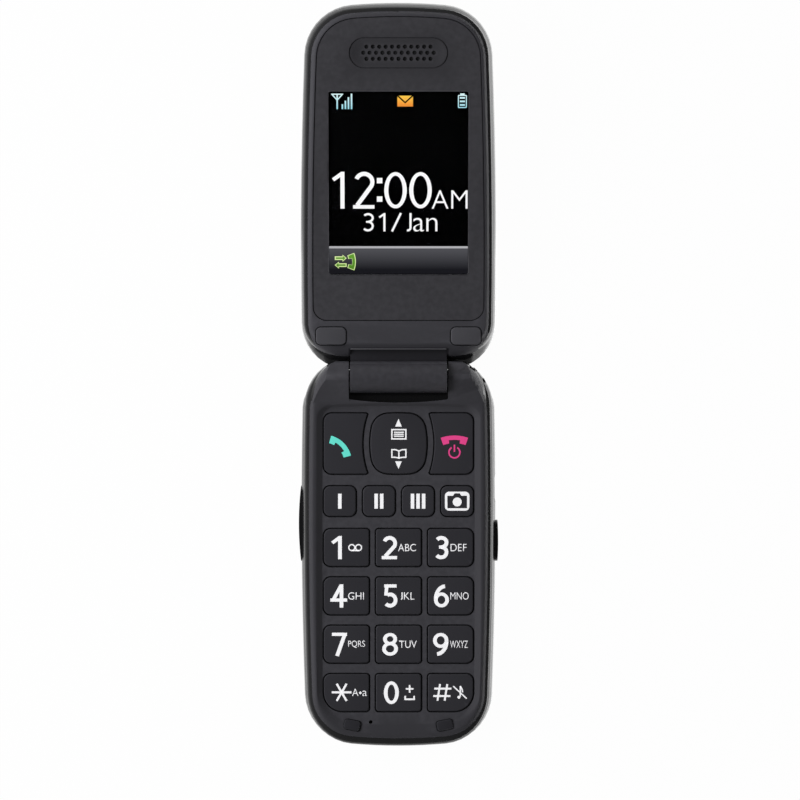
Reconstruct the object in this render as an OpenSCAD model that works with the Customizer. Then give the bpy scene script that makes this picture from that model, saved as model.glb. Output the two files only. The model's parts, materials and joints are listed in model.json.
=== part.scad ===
// Big-button folding phone, lying on its back with the lid open.
// X runs across the phone, Y from the base's tip to the lid's tip, Z up from the table.
// Origin: centre of the base's flat back.

/* [Body] */
// Width of both halves at their widest
body_w = 53.4; // [52:0.2:56]
// Distance from the hinge axis to the tip of either half
tip_reach = 101.2; // [100:0.2:104]
// Height of the base from its back to the rim of its face
base_t = 11; // [10.8:0.1:12]
// Thickness of the lid from the rim of its face to its outer cover
lid_t = 8.6; // [8.4:0.1:9.6]
// Gap between the two rims when the phone is shut
shut_gap = 0.4; // [0.3:0.05:0.8]
// Angle between the two faces when the lid is fully open
open_angle = 170; // [160:1:172]
// Wall thickness of the moulded casings
wall = 1.3; // [1.1:0.1:1.5]
// Radius of the corners at the two tips
tip_corner_r = 14; // [13:0.5:15]
// Radius of the corners beside the hinge
hinge_corner_r = 12.5; // [12:0.5:13.5]
// Radius of the shallow arch across each tip
tip_arch_r = 150; // [120:10:200]
// Radius of the shallow bulge along each side
side_bulge_r = 1400; // [1200:100:2000]

/* [Hinge] */
// Radius of the centre knuckle and of the two shoulders
hinge_r = 4.3; // [4.2:0.05:4.5]
// Length of the centre knuckle
knuckle_len = 26.4; // [24:0.4:28]
// Gap between the knuckle and each shoulder
knuckle_gap = 0.4; // [0.3:0.05:0.6]
// Distance from the hinge axis to the ends of the trough's front edge
trough_reach = 6; // [5.6:0.1:6.4]
// How far the trough's front edge bows out at its middle
trough_bow = 0.9; // [0.6:0.1:1]
// Radius of the steel shaft and the steel pin
pin_r = 1.5; // [1.3:0.05:1.6]
// How far the shaft and the pin reach into the shoulders
pin_grip = 4.4; // [3.6:0.2:4.8]
// Radial running clearance round the shaft and the pin
pin_clear = 0.04; // [0.02:0.01:0.06]
// Radius of the bore through the knuckle
knuckle_bore_r = 2.6; // [2.4:0.05:2.8]

/* [Keys] */
// Depth of the key tray below the rim
deck_drop = 0.8; // [0.6:0.05:0.9]
// Width of the sloped sides of the key tray
tray_slope = 1.65; // [0.8:0.05:1.8]
// Distance from each side to the outer edges of the keys
key_side = 6.25; // [5.6:0.05:6.6]
// Gap between the digit columns
col_gap = 1.85; // [1.75:0.05:2.2]
// Gap between the digit rows
row_gap = 3.03; // [2.6:0.01:3.4]
// Distance from the tip to the lower edge of the digit keys
digit_tip = 9.76; // [8.6:0.02:10.6]
// Gap between the quick keys
quick_gap = 1.9; // [1.75:0.05:2.2]
// Height of a quick key
quick_h = 8.2; // [7.6:0.1:8.6]
// Gap between the quick keys and the digit keys
quick_foot_gap = 3.5; // [3:0.05:4]
// Height of the call, navigation and end keys
nav_h = 16.6; // [16:0.1:17]
// Width of the navigation key at its middle
nav_w = 15.5; // [15:0.1:16]
// Distance from the hinge axis to the upper edge of the navigation key
nav_top = 9.9; // [9.6:0.05:10.4]
// Gap between the navigation key and the quick keys
nav_foot_gap = 3.35; // [3:0.05:4]
// Radius of the curve between the navigation key and its neighbours
nav_side_r = 23; // [20:1:28]
// Gap round every key
key_gap = 0.35; // [0.3:0.05:0.5]
// How far the key tops stand above the tray
key_proud = 0.3; // [0.2:0.05:0.4]
// Radius of the crown on the key tops
key_crown_r = 110; // [90:5:160]
// Width of the retaining flange under each key
flange_w = 0.45; // [0.35:0.05:0.5]
// Travel of a key
key_travel = 0.3; // [0.2:0.05:0.4]

/* [Display] */
// Width of the display opening
screen_w = 37.8; // [36.8:0.1:38.6]
// Distance from the display opening to the lower edge of the face panel
chin = 12.5; // [12:0.1:13]
// Distance from the display opening to the earpiece recess
brow = 6.45; // [6:0.05:7]
// Length of the earpiece recess
ear_w = 26; // [25:0.2:27]
// Height of the earpiece recess
ear_h = 7.7; // [7.5:0.1:8.2]
// Distance from the tip to the middle of the earpiece
ear_tip = 13.1; // [12:0.1:13.6]
// Radius of one earpiece hole
ear_hole_r = 0.56; // [0.45:0.01:0.6]
// Distance from the hinge axis to the lower edge of the face panel
panel_foot = 15.7; // [15.4:0.1:16.2]
// Groove between the face panel and the lid frame
panel_gap = 0.25; // [0.15:0.05:0.35]

/* [Sides and back] */
// Length of the volume rocker
rocker_len = 20.8; // [19:0.2:22]
// Distance from the hinge axis to the middle of the volume rocker
rocker_mid = 40.2; // [39:0.2:42]
// Length of the side key
side_key_len = 11.4; // [10:0.2:12]
// Gap between the USB socket and the side key
usb_key_gap = 5.05; // [4.5:0.05:6]
// Height of the rocker and the side key
side_key_h = 3.2; // [2.8:0.1:3.4]
// How far the rocker and the side key stand out of the casing
side_key_proud = 0.7; // [0.5:0.05:0.9]
// Distance from the hinge axis to the middle of the USB socket
usb_mid = 30.4; // [30:0.1:31]
// Distance from the tip to the far end of the battery
battery_tip = 14.7; // [13.6:0.1:15.6]
// Width of the battery
battery_w = 34; // [32:0.5:35]
// Distance from the hinge axis to the near end of the battery
battery_near = 36.5; // [36:0.1:37]
// Thickness of the battery cover
cover_t = 1.2; // [1.1:0.05:1.3]
// Margin of the battery cover round the battery
cover_margin = 3; // [2.6:0.1:3.2]
// Gap round the battery cover
cover_gap = 0.15; // [0.1:0.05:0.25]
// Radius of the camera's bore in the back
camera_r = 4; // [3.4:0.1:4.4]
// Distance from the hinge axis to the camera and the loudspeaker
camera_mid = 19; // [18:0.2:20]

/* [Hidden] */

$fn = 64;
eps = 0.01;

// Hinge axis, seen from the middle of the base's back
half_w = body_w / 2;
base_len = tip_reach + hinge_r;
hinge_y = base_len / 2 - hinge_r;
hinge_z = base_t + shut_gap / 2;
lid_tilt = 180 - open_angle;

// Keys fill the room between the sides, the hinge and the tip
digit_w = (body_w - 2 * key_side - 2 * col_gap) / 3;
col_pitch = digit_w + col_gap;
pad_edge = half_w - key_side;
quick_w = (2 * pad_edge - 3 * quick_gap) / 4;
quick_pitch = quick_w + quick_gap;
nav_row = nav_top + nav_h / 2;
quick_top = nav_top + nav_h + nav_foot_gap;
quick_row = quick_top + quick_h / 2;
digit_top = quick_top + quick_h + quick_foot_gap;
row_pitch = (tip_reach - digit_tip - digit_top + row_gap) / 4;
digit_h = row_pitch - row_gap;
first_row = digit_top + digit_h / 2;

// The display fills the room between the earpiece and the panel's chin
ear_mid = tip_reach - ear_tip;
screen_foot = panel_foot + chin;
screen_h = ear_mid - ear_h / 2 - brow - screen_foot;
screen_mid = screen_foot + screen_h / 2;

// Battery, USB socket and side key
battery_len = tip_reach - battery_tip - battery_near;
usb_w = 7.5;
usb_h = 2.6;
usb_depth = 5.4;
usb_wall = 0.3;
usb_back = 0.4;
usb_drop = 0.4;
side_key_mid = usb_mid + usb_w / 2 + usb_key_gap + side_key_len / 2;

// Levels in the base, from the back upwards
part_gap = 0.1;
front_h = 3.4;
part_z = base_t - front_h;
deck_top = base_t - deck_drop;
deck_t = 1.2;
deck_z = deck_top - deck_t;
key_top = deck_top + key_proud;
flange_t = 0.5;
flange_gap = 0.1;
flange_z = deck_z - flange_gap - flange_t;
mat_sheet = 0.3;
mat_z = flange_z - key_travel - mat_sheet;
dome_t = 0.2;
board_t = 0.8;
board_z = mat_z - dome_t - board_t;
roof_t = 0.5;
roof_gap = 0.1;
roof_z = board_z - roof_gap - roof_t;
cover_seat = cover_t + 0.05;
floor_z = cover_seat + 0.9;
battery_z = cover_t + 0.25;
battery_t = roof_z - 0.2 - battery_z;
fit_gap = 0.2;

// Cylinders about the hinge axis that keep the lid's end clear of the base's nose
nose_gap = 1.05;
nose_r = hinge_r + nose_gap;
lid_end_gap = 0.55;
lid_end_r = nose_r + lid_end_gap;
nose_min = 1;
trough_half = knuckle_len / 2 + knuckle_gap;

// Levels in the lid, from its face downwards
lid_part = 3;
recess_d = 1.15;
panel_drop = 0.12;
panel_t = recess_d - panel_drop - 0.05;
lid_deck_t = 0.8;
lid_deck = recess_d + lid_deck_t;
window_drop = 0.3;
module_t = 1.9;
module_top = lid_deck;
lid_board_top = module_top + module_t;
lid_board_t = 0.8;
lid_floor = lid_t - wall + 0.1;
lid_hinge_end = 0.9;

// Outlines of the two halves as chains of tangent arcs.
// u is the distance from the hinge axis towards the tip, x the distance from the centre line.

// Both points where two circles meet
function circle_meet(p, a, q, b) =
  let (d = norm(q - p), e = (q - p) / d, t = (d * d + a * a - b * b) / (2 * d), h = sqrt(a * a - t * t))
  [p + t * e + h * [-e[1], e[0]], p + t * e - h * [-e[1], e[0]]];

// The meeting point nearer the tip, or nearer the hinge
function upper_of(pair) = pair[0][1] > pair[1][1] ? pair[0] : pair[1];
function lower_of(pair) = pair[0][1] > pair[1][1] ? pair[1] : pair[0];

function heading(v) = atan2(v[0], v[1]);

// Arcs of one half outline: [centre, radius, first heading, last heading, steps]
function half_arcs(half, hinge_end, tip, wide, side_r, tip_corner, hinge_corner, hinge_arch) =
  let (
    c_tip = [0, tip - tip_arch_r],
    c_side = [half - side_r, wide],
    c_end = [0, hinge_end + hinge_arch],
    c_a = upper_of(circle_meet(c_tip, tip_arch_r - tip_corner, c_side, side_r - tip_corner)),
    c_b = lower_of(circle_meet(c_side, side_r - hinge_corner, c_end, hinge_arch - hinge_corner)),
    a1 = heading(c_a - c_tip),
    a2 = heading(c_a - c_side),
    a3 = heading(c_b - c_side),
    a4 = heading(c_b - c_end)
  )
  [
    [c_tip, tip_arch_r, 0, a1, 4],
    [c_a, tip_corner, a1, a2, 9],
    [c_side, side_r, a2, a3, 7],
    [c_b, hinge_corner, a3, a4, 9],
    [c_end, hinge_arch, a4, 180, 3]
  ];

// How much of the hinge-end or tip values applies at a heading: none along the sides, all across the end
function end_share(a) = pow(max(0, -cos(a)), 2);
function tip_share(a) = pow(max(0, cos(a)), 2);

// A ring is [side inset, hinge-end inset, level], with an optional tip inset and tip level
function tip_inset(r) = len(r) > 3 ? r[3] : r[0];
function tip_level(r) = len(r) > 4 ? r[4] : r[2];
function ring_point(arc, r, a) =
  let (
    e = end_share(a),
    t = tip_share(a),
    inset = r[0] + (r[1] - r[0]) * e + (tip_inset(r) - r[0]) * t,
    p = arc[0] + (arc[1] - inset) * [sin(a), cos(a)]
  )
  [p[0], p[1], r[2] + (tip_level(r) - r[2]) * t];

// One side of an outline, from the tip to the hinge end, drawn in by the ring's insets
function half_ring(arcs, r) =
  [for (arc = arcs, i = [0 : arc[4] - 1]) ring_point(arc, r, arc[2] + (arc[3] - arc[2]) * i / arc[4])];

// A closed outline, clockwise seen from the face, as [x, u, z]
function ring(arcs, r) =
  let (right = half_ring(arcs, r), foot = ring_point(arcs[4], r, 180), n = len(right))
  concat(
    right, [[0, foot[1], foot[2]]], [for (i = [n - 1 : -1 : 1]) [-right[i][0], right[i][1], right[i][2]]]
  );

base_wide = 36;
lid_wide = 28;
lid_corner_r = hinge_corner_r + 0.7;
end_arch_r = 400;
base_arcs = half_arcs(
  half_w, -hinge_r, tip_reach, base_wide, side_bulge_r, tip_corner_r, hinge_corner_r, end_arch_r
);
lid_arcs = half_arcs(
  half_w, lid_hinge_end, tip_reach, lid_wide, side_bulge_r, tip_corner_r, lid_corner_r, end_arch_r
);

// The key tray has nearly straight sides, just outside the keys, and runs out flat towards the tip
tray_margin = 0.05;
tray_half = pad_edge + key_gap + tray_margin;
tray_near = 7.9;
tray_rise = 0.9;
tray_tip = 6.2;
tray_wide = 50;
tray_corner_r = 9;
tray_end_r = 3;
tray_side_r = 6000;
tray_arcs = half_arcs(
  tray_half, tray_near, tip_reach - tray_tip, tray_wide, tray_side_r, tray_corner_r, tray_end_r, end_arch_r
);

function reversed(list) = [for (i = [len(list) - 1 : -1 : 0]) list[i]];
function facing_down(points) = [for (p = reversed(points)) [p[0], -p[1], p[2]]];
function base_ring(r) = facing_down(ring(base_arcs, r));
function tray_ring(r) = facing_down(ring(tray_arcs, r));
function lid_ring(r) = ring(lid_arcs, r);
function flat(points) = [for (p = points) [p[0], p[1]]];

// A closed skin through a chain of outlines, capped at both ends
module skin(rings) {
  n = len(rings[0]);
  m = len(rings);
  sides = [for (k = [0 : m - 2], i = [0 : n - 1])
    let (j = (i + 1) % n) each [
      [k * n + i, k * n + j, (k + 1) * n + j],
      [k * n + i, (k + 1) * n + j, (k + 1) * n + i]
    ]];
  first = [for (i = [n - 1 : -1 : 0]) i];
  last = [for (i = [0 : n - 1]) (m - 1) * n + i];
  polyhedron(points = [for (r = rings) each r], faces = concat(sides, [first], [last]));
}

// Places drawn with Y measured from the hinge axis
module on_base() {
  translate([0, hinge_y, 0]) children();
}
module on_lid() {
  translate([0, hinge_y, hinge_z]) rotate([lid_tilt, 0, 0]) translate([0, 0, -shut_gap / 2]) children();
}
module on_axis() {
  translate([0, hinge_y, hinge_z]) rotate([lid_tilt, 0, 0]) children();
}

// Rod along X from x0 to x1
module rod(r, x0, x1) {
  translate([x0, 0, 0]) rotate([0, 90, 0]) cylinder(r = r, h = x1 - x0);
}

// Box from its middle in X and Y and its levels in Z
module slab(w, h, z0, z1) {
  translate([-w / 2, -h / 2, z0]) cube([w, h, z1 - z0]);
}

// Rectangle with its own radius at each corner: upper left, upper right, lower right, lower left
module plate_2d(w, h, r) {
  corners = [[-1, 1], [1, 1], [1, -1], [-1, -1]];
  difference() {
    square([w, h], center = true);
    for (i = [0 : 3])
      translate([corners[i][0] * (w / 2 - r[i]), corners[i][1] * (h / 2 - r[i])])
        difference() {
          translate([corners[i][0] * r[i], corners[i][1] * r[i]]) square(2 * r[i], center = true);
          circle(r[i]);
        }
  }
}

module plate(w, h, r, z0, z1) {
  translate([0, 0, z0]) linear_extrude(z1 - z0) plate_2d(w, h, [r, r, r, r]);
}

module pill_2d(w, h) {
  square([w - h, h], center = true);
  for (s = [-1, 1]) translate([s * (w - h) / 2, 0]) circle(h / 2);
}

// Keys

digit_outer_r = 1.9;
digit_inner_r = 0.8;
tail_r = 5.2;
quick_r = 1.7;
nav_corner_r = 4.6;
nav_arch_r = 45;
function digit_at(col, row) = [(col - 1) * col_pitch, -first_row - row * row_pitch];
function quick_at(i) = [(i - 1.5) * quick_pitch, -quick_row];

// Corner radii of a digit key: the outer columns are rounder outside
function digit_corners(col, row) =
  let (tail = row == 3 ? tail_r : digit_outer_r)
  col == 0 ? [digit_outer_r, digit_inner_r, digit_inner_r, tail]
  : col == 2 ? [digit_inner_r, digit_outer_r, tail, digit_inner_r]
  : [digit_inner_r, digit_inner_r, digit_inner_r, digit_inner_r];

function grown(r, g) = [for (v = r) max(v + g, 0.1)];

module digit_2d(col, row, g) {
  plate_2d(digit_w + 2 * g, digit_h + 2 * g, grown(digit_corners(col, row), g));
}
module quick_2d(g) {
  plate_2d(quick_w + 2 * g, quick_h + 2 * g, grown([quick_r, quick_r, quick_r, quick_r], g));
}

// The navigation key is bounded by two wide arcs and rounded corners
nav_arcs = nav_outline(nav_w / 2, nav_h / 2);
function nav_outline(a, b) =
  let (
    top = [0, b - nav_arch_r],
    side = [a - nav_side_r, 0],
    c = upper_of(circle_meet(top, nav_arch_r - nav_corner_r, side, nav_side_r - nav_corner_r)),
    a1 = heading(c - top),
    a2 = heading(c - side)
  )
  [[top, nav_arch_r, 0, a1, 4], [c, nav_corner_r, a1, a2, 6], [side, nav_side_r, a2, 90, 6]];
function nav_quarter(g) =
  [for (arc = nav_arcs, i = [0 : arc[4] - 1])
    let (a = arc[2] + (arc[3] - arc[2]) * i / arc[4]) arc[0] + (arc[1] + g) * [sin(a), cos(a)]];
module nav_2d(g) {
  q = nav_quarter(g);
  n = len(q);
  side = [nav_w / 2 + g, 0];
  right = concat(q, [side], [for (i = [n - 1 : -1 : 0]) [q[i][0], -q[i][1]]]);
  m = len(right);
  polygon(concat(right, [for (i = [m - 2 : -1 : 1]) [-right[i][0], right[i][1]]]));
}

// Call key (side -1) and end key (side 1), hollowed beside the navigation key
call_gap = 2.1;
nav_side_rise = nav_side_r - sqrt(pow(nav_side_r, 2) - pow(nav_h / 2, 2));
call_inner = nav_w / 2 + call_gap - nav_side_rise;
call_w = pad_edge - call_inner;
call_mid = (call_inner + pad_edge) / 2;
module call_2d(side, g) {
  outer = side < 0 ? [2.2, 0.8, 0.8, 2.2] : [0.8, 2.2, 2.2, 0.8];
  hollow_r = nav_side_r + call_gap;
  difference() {
    plate_2d(call_w + 2 * g, nav_h + 2 * g, grown(outer, g));
    translate([side * (nav_w / 2 - nav_side_r - call_mid), 0]) circle(hollow_r - g, $fn = 96);
  }
}

// Key body: a crowned cap over a retaining flange, cut from the outline given as children 0 and 1
module key_body(drop) {
  intersection() {
    union() {
      translate([0, 0, flange_z - drop]) linear_extrude(key_top + 1 - flange_z + drop) children(0);
      translate([0, 0, flange_z - drop]) linear_extrude(flange_t) children(1);
    }
    translate([0, 0, key_top - key_crown_r]) sphere(key_crown_r, $fn = 400);
  }
}

module digit_key(col, row) {
  color("dimgray") on_base() translate(digit_at(col, row))
    key_body(0) {
      digit_2d(col, row, 0);
      digit_2d(col, row, key_gap + flange_w);
    }
}
module quick_key(i) {
  color("dimgray") on_base() translate(quick_at(i))
    key_body(0) {
      quick_2d(0);
      quick_2d(key_gap + flange_w);
    }
}
module call_end_key(side) {
  color("dimgray") on_base() translate([side * call_mid, -nav_row, 0])
    key_body(0) {
      call_2d(side, 0);
      call_2d(side, key_gap + flange_w);
    }
}

module key_call() { call_end_key(-1); }
module key_end() { call_end_key(1); }
module key_quick_1() { quick_key(0); }
module key_quick_2() { quick_key(1); }
module key_quick_3() { quick_key(2); }
module key_camera() { quick_key(3); }
module key_1() { digit_key(0, 0); }
module key_2() { digit_key(1, 0); }
module key_3() { digit_key(2, 0); }
module key_4() { digit_key(0, 1); }
module key_5() { digit_key(1, 1); }
module key_6() { digit_key(2, 1); }
module key_7() { digit_key(0, 2); }
module key_8() { digit_key(1, 2); }
module key_9() { digit_key(2, 2); }
module key_star() { digit_key(0, 3); }
module key_0() { digit_key(1, 3); }
module key_hash() { digit_key(2, 3); }

// The navigation key's flange hangs lower, so that it can rock under the deck
nav_drop = 0.3;
module nav_key() {
  color("dimgray") on_base() translate([0, -nav_row, 0])
    key_body(nav_drop) {
      nav_2d(0);
      nav_2d(key_gap + flange_w);
    }
}

// Openings in the deck, one for each key
module key_openings() {
  for (col = [0 : 2], row = [0 : 3])
    translate(digit_at(col, row)) linear_extrude(base_t) digit_2d(col, row, key_gap);
  for (i = [0 : 3]) translate(quick_at(i)) linear_extrude(base_t) quick_2d(key_gap);
  translate([0, -nav_row, 0]) {
    linear_extrude(base_t) nav_2d(key_gap);
    for (side = [-1, 1]) translate([side * call_mid, 0, 0]) linear_extrude(base_t) call_2d(side, key_gap);
  }
}

// Base casings

// Inset of the base's nose at a level, so that it stays inside the nose cylinder
function nose_inset(z) = hinge_r - sqrt(max(pow(nose_r, 2) - pow(hinge_z - z, 2), pow(nose_min, 2)));

// Front casing from the parting line up over the rim, which sinks to the deck's level at the tip
front_edge = [
  [0.55, 0.5, part_z, 0.15, part_z], [0.75, 0.4, part_z + 0.9, 0.1, part_z + 0.6],
  [1.05, 0.35, base_t - 1.8, 0.35, deck_top - 1.45], [1.4, 0.35, base_t - 1.35, 0.9, deck_top - 1],
  [1.8, 0.4, base_t - 1.05, 1.6, deck_top - 0.6], [2.15, 0.5, base_t - 0.88, 2.3, deck_top - 0.33],
  [2.4, 0.7, base_t - 0.66, 2.6, deck_top - 0.25], [2.7, 1.1, base_t - 0.38, 2.9, deck_top - 0.17],
  [3, 1.8, base_t - 0.14, 3.3, deck_top - 0.08]
];
front_outer = concat(front_edge, [
  [3.3, 3, base_t - 0.02, 3.8, deck_top - 0.02], [3.6, 5, base_t, 4.4, deck_top]
]);
tray_rings = [
  [-tray_slope, -tray_rise, base_t, -0.6, deck_top],
  [-tray_slope + 0.12, 0.15 - tray_rise, base_t - 0.07, -0.45, deck_top],
  [-0.16, -0.12, deck_top + 0.08, -0.15, deck_top], [0, 0, deck_top]
];
front_inner = [
  [1.75 + wall, 10.4, deck_z], [1.45 + wall, 0.5 + wall, deck_z - 0.6], [1.3 + wall, 0.5 + wall, part_z]
];

shoulder_dome = concat([for (r = front_edge) [r[0], -1, r[2]]], [
  [3.35, -1, base_t + 0.2], [4, -1, base_t + 0.8], [5, -1, base_t + 1.4], [6.4, -1, base_t + 1.9],
  [8.4, -1, base_t + 2.35], [11, -1, base_t + 2.7]
]);
shoulder_r = 2.4;
shoulder_nose_r = 1.3;
shoulder_foot = tray_near - tray_rise;
foot_sink = 0.12;

// Side view of a shoulder: a low round nose whose back slopes gently down into the rim
module shoulder_2d() {
  hull() {
    circle(shoulder_r);
    translate([hinge_r - shoulder_nose_r, 0]) circle(shoulder_nose_r);
    translate([-shoulder_foot, part_z - hinge_z]) square([shoulder_foot, base_t - part_z - foot_sink]);
  }
  translate([0, part_z - hinge_z]) square([hinge_r, hinge_z - part_z]);
}

// Plan of the knuckle's trough, grown by g; its front edge is a shallow arc
trough_step = 0.1;
bow_half = trough_half - 0.3;
trough_arc_r = (pow(trough_half, 2) + pow(trough_bow, 2)) / (2 * trough_bow);
module trough_2d(g) {
  translate([-trough_half - g, -trough_reach]) square([2 * trough_half + 2 * g, 3 * trough_reach]);
  intersection() {
    translate([0, trough_arc_r - trough_bow - trough_reach - trough_step])
      circle(trough_arc_r + g, $fn = 240);
    translate([-bow_half - g, -2 * trough_reach]) square([2 * bow_half + 2 * g, 1.5 * trough_reach]);
  }
}

module shoulders() {
  intersection() {
    skin([for (r = shoulder_dome) base_ring(r)]);
    for (side = [-1, 1])
      translate([side > 0 ? trough_half - 0.2 : -half_w, 0, hinge_z])
        rotate([90, 0, 90]) linear_extrude(half_w - trough_half + 0.2) shoulder_2d();
  }
}

boss_r = 1.7;
screw_r = 0.7;
screw_head_r = 1.25;
base_screw_x = 14.5;
base_screw_y = -tip_reach + 7;
hinge_screw_x = trough_half + 4;
hinge_screw_y = -4.6;
base_screw_spots = [for (s = [-1, 1]) each [
  [s * base_screw_x, base_screw_y], [s * hinge_screw_x, hinge_screw_y]
]];
bumper_at = [12.7, -tip_reach + 6];
bumper_tilt = 11;
bumper_w = 4.5;
bumper_h = 2.8;
bumper_d = 0.6;
bumper_proud = 0.4;
mic_r = 2;
mic_t = 1.3;
mic_gap = 0.1;
mic_hole_r = 0.5;
mic_at = [-7.6, -tip_reach + 6.8];
strap_at = [half_w - 4.1, 0.9];
strap_r = 2;
strap_hole_r = 0.75;

module base_front_casing() {
  color("#3d3c41") on_base() difference() {
    union() {
      skin(concat(
        [for (r = concat(front_inner, front_outer)) base_ring(r)], [for (r = tray_rings) tray_ring(r)]
      ));
      shoulders();
      translate([0, 0, part_z]) linear_extrude(deck_top - 0.1 - part_z) intersection() {
        trough_2d(wall);
        translate([-half_w, -2 * trough_reach]) square([2 * half_w, 1.3 * trough_reach]);
      }
      for (s = [-1, 1])
        translate([s * base_screw_x, base_screw_y, part_z]) cylinder(r = boss_r, h = deck_z - part_z + 0.3);
    }
    translate([0, 0, part_z - 1]) linear_extrude(2 * hinge_z) trough_2d(0);
    key_openings();
    translate([0, 0, hinge_z]) {
      rod(pin_r + 0.01, trough_half - 1, trough_half + pin_grip);
      rod(pin_r + 0.01, -trough_half - pin_grip, -trough_half + 1);
    }
    for (s = [-1, 1]) {
      translate([s * bumper_at[0], bumper_at[1], 0]) rotate(s * bumper_tilt)
        plate(bumper_w + 0.1, bumper_h + 0.1, 0.85, deck_top - bumper_d, base_t + 1);
    }
    for (spot = base_screw_spots)
      translate([spot[0], spot[1], part_z - 1]) cylinder(r = screw_r + 0.02, h = 2.4);
    translate([mic_at[0], mic_at[1], deck_z - 1]) cylinder(r = mic_hole_r, h = deck_t + 3);
    translate([strap_at[0], strap_at[1], part_z + 1.6]) rotate_extrude($fn = 48)
      translate([strap_r, 0]) circle(strap_hole_r, $fn = 24);
  }
}

// Rear casing: a tub whose hinge end is drawn in under the shoulders
rear_top = part_z - part_gap;
wide_share = 0.64;
rear_outer = [for (r = [
    [6, 7.5, 0, 6], [4.2, 5.8, 0.033, 4.2], [2.7, 4.1, 0.107, 2.7], [1.4, 2.3, 0.24, 1.4],
    [0.6, 1.1, 0.387, 0.6],
    [0.15, 0.4, 0.533, 0.2], [0, 0.1, wide_share, 0.05], [0.02, 0, 0.74, 0], [0.12, 0, 0.83, 0],
    [0.3, 0, 0.92, 0.03], [0.5, 0, 1, 0.1]
  ]) [r[0], nose_inset(r[2] * rear_top) + r[1], r[2] * rear_top, r[3]]];
rear_inner = [for (i = [10, 9, 8, 7, 5, 4])
  [rear_outer[i][0] + wall, rear_outer[i][1] + wall, rear_outer[i][2]]];
rear_floor = [[2.4 + wall, 4.1 + wall + nose_inset(floor_z), floor_z]];

cover_w = battery_w + 2 * cover_margin;
cover_len = battery_len + 2 * cover_margin;
cover_mid = -battery_near - battery_len / 2;
bay_wall = 0.8;
cradle_len = trough_reach + wall - 0.4;
cradle_z = hinge_z - hinge_r - 2.6;
contact_pitch = 4;
contact_w = 1.6;
side_z = rear_top * wide_share;
side_inner = half_w - wall - 0.9;
side_flange = 0.8;
side_flange_t = 0.5;
side_clear = 0.25;
rocker_dot = rocker_len * 0.32;
usb_z = board_z - 0.05 - usb_h / 2;
speaker_x = 12;
speaker_w = 11;
speaker_h = 9;
speaker_t = 2.4;
speaker_at = [speaker_x, -camera_mid];

// Slot through a side wall for a pill of the given length, with room for its flange inside
module side_slot(side, mid, len) {
  translate([side * side_inner, -mid, side_z]) rotate([90, 0, side * 90]) {
    linear_extrude(8) pill_2d(len + 2 * side_clear, side_key_h + 2 * side_clear);
    translate([0, 0, -1]) linear_extrude(side_flange_t + 1.45)
      pill_2d(len + side_flange + 2 * side_clear, side_key_h + side_flange + 2 * side_clear);
  }
}

module base_rear_casing() {
  color("#2b2b2f") on_base() difference() {
    union() {
      skin([for (r = concat(rear_outer, rear_inner, rear_floor)) base_ring(r)]);
      translate([0, cover_mid, 0]) difference() {
        slab(
          battery_w + 2 * fit_gap + 2 * bay_wall, battery_len + 2 * fit_gap + 2 * bay_wall,
          floor_z - 0.5, roof_z + roof_t
        );
        slab(battery_w + 2 * fit_gap, battery_len + 2 * fit_gap, 0, roof_z);
      }
      translate([0, -trough_reach - wall + cradle_len / 2, 0])
        slab(2 * trough_half + 2 * wall, cradle_len, cradle_z, rear_top);
      for (spot = base_screw_spots)
        translate([spot[0], spot[1], floor_z - 0.3]) cylinder(r = boss_r, h = rear_top - floor_z + 0.3);
    }
    translate([0, cover_mid, 0]) {
      plate(cover_w + 2 * cover_gap, cover_len + 2 * cover_gap, 3 + cover_gap, -1, cover_seat);
      slab(battery_w + 2 * fit_gap, battery_len + 2 * fit_gap, -1, roof_z);
    }
    translate([0, 0, hinge_z]) rod(hinge_r + 0.5, -trough_half, trough_half);
    translate([-trough_half, 0, hinge_z - hinge_r - 0.5]) cube([2 * trough_half, 3 * hinge_r, 3 * hinge_r]);
    side_slot(-1, rocker_mid, rocker_len);
    side_slot(1, side_key_mid, side_key_len);
    translate([half_w - 6, -usb_mid, usb_z])
      rotate([90, 0, 90]) linear_extrude(9) pill_2d(usb_w + 0.6, usb_h + 0.6);
    translate([0, -camera_mid, -1]) cylinder(r = camera_r, h = floor_z + 2);
    for (i = [-2 : 2])
      translate([speaker_at[0] + 1.7 * i, speaker_at[1], -1])
        linear_extrude(floor_z + 2) rotate(90) pill_2d(6.5, 0.8);
    for (i = [-1 : 1])
      translate([i * contact_pitch, -battery_near, 0]) slab(contact_w + 0.3, 4, board_z - 1.3, board_z);
    for (spot = base_screw_spots) translate([spot[0], spot[1], -1]) {
      cylinder(r = screw_r + 0.1, h = part_z + 1);
      cylinder(r = screw_head_r + 0.1, h = 2.2);
    }
  }
}

clip_w = 5;
clip_t = 0.8;
clip_h = 0.24;
module battery_cover() {
  color("#2b2b2f") on_base() translate([0, cover_mid, 0]) difference() {
    union() {
      plate(cover_w, cover_len, 3, 0, cover_t);
      for (s = [-1, 1], t = [-1, 1])
        translate([s * (battery_w / 4), t * (battery_len / 2 + fit_gap - 0.5), 0])
          slab(clip_w, clip_t, cover_t / 2, cover_t + clip_h);
    }
    translate([0, -cover_len / 2, -2.6]) rod(3.2, -5, 5);
  }
}

// Keypad underlay

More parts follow.
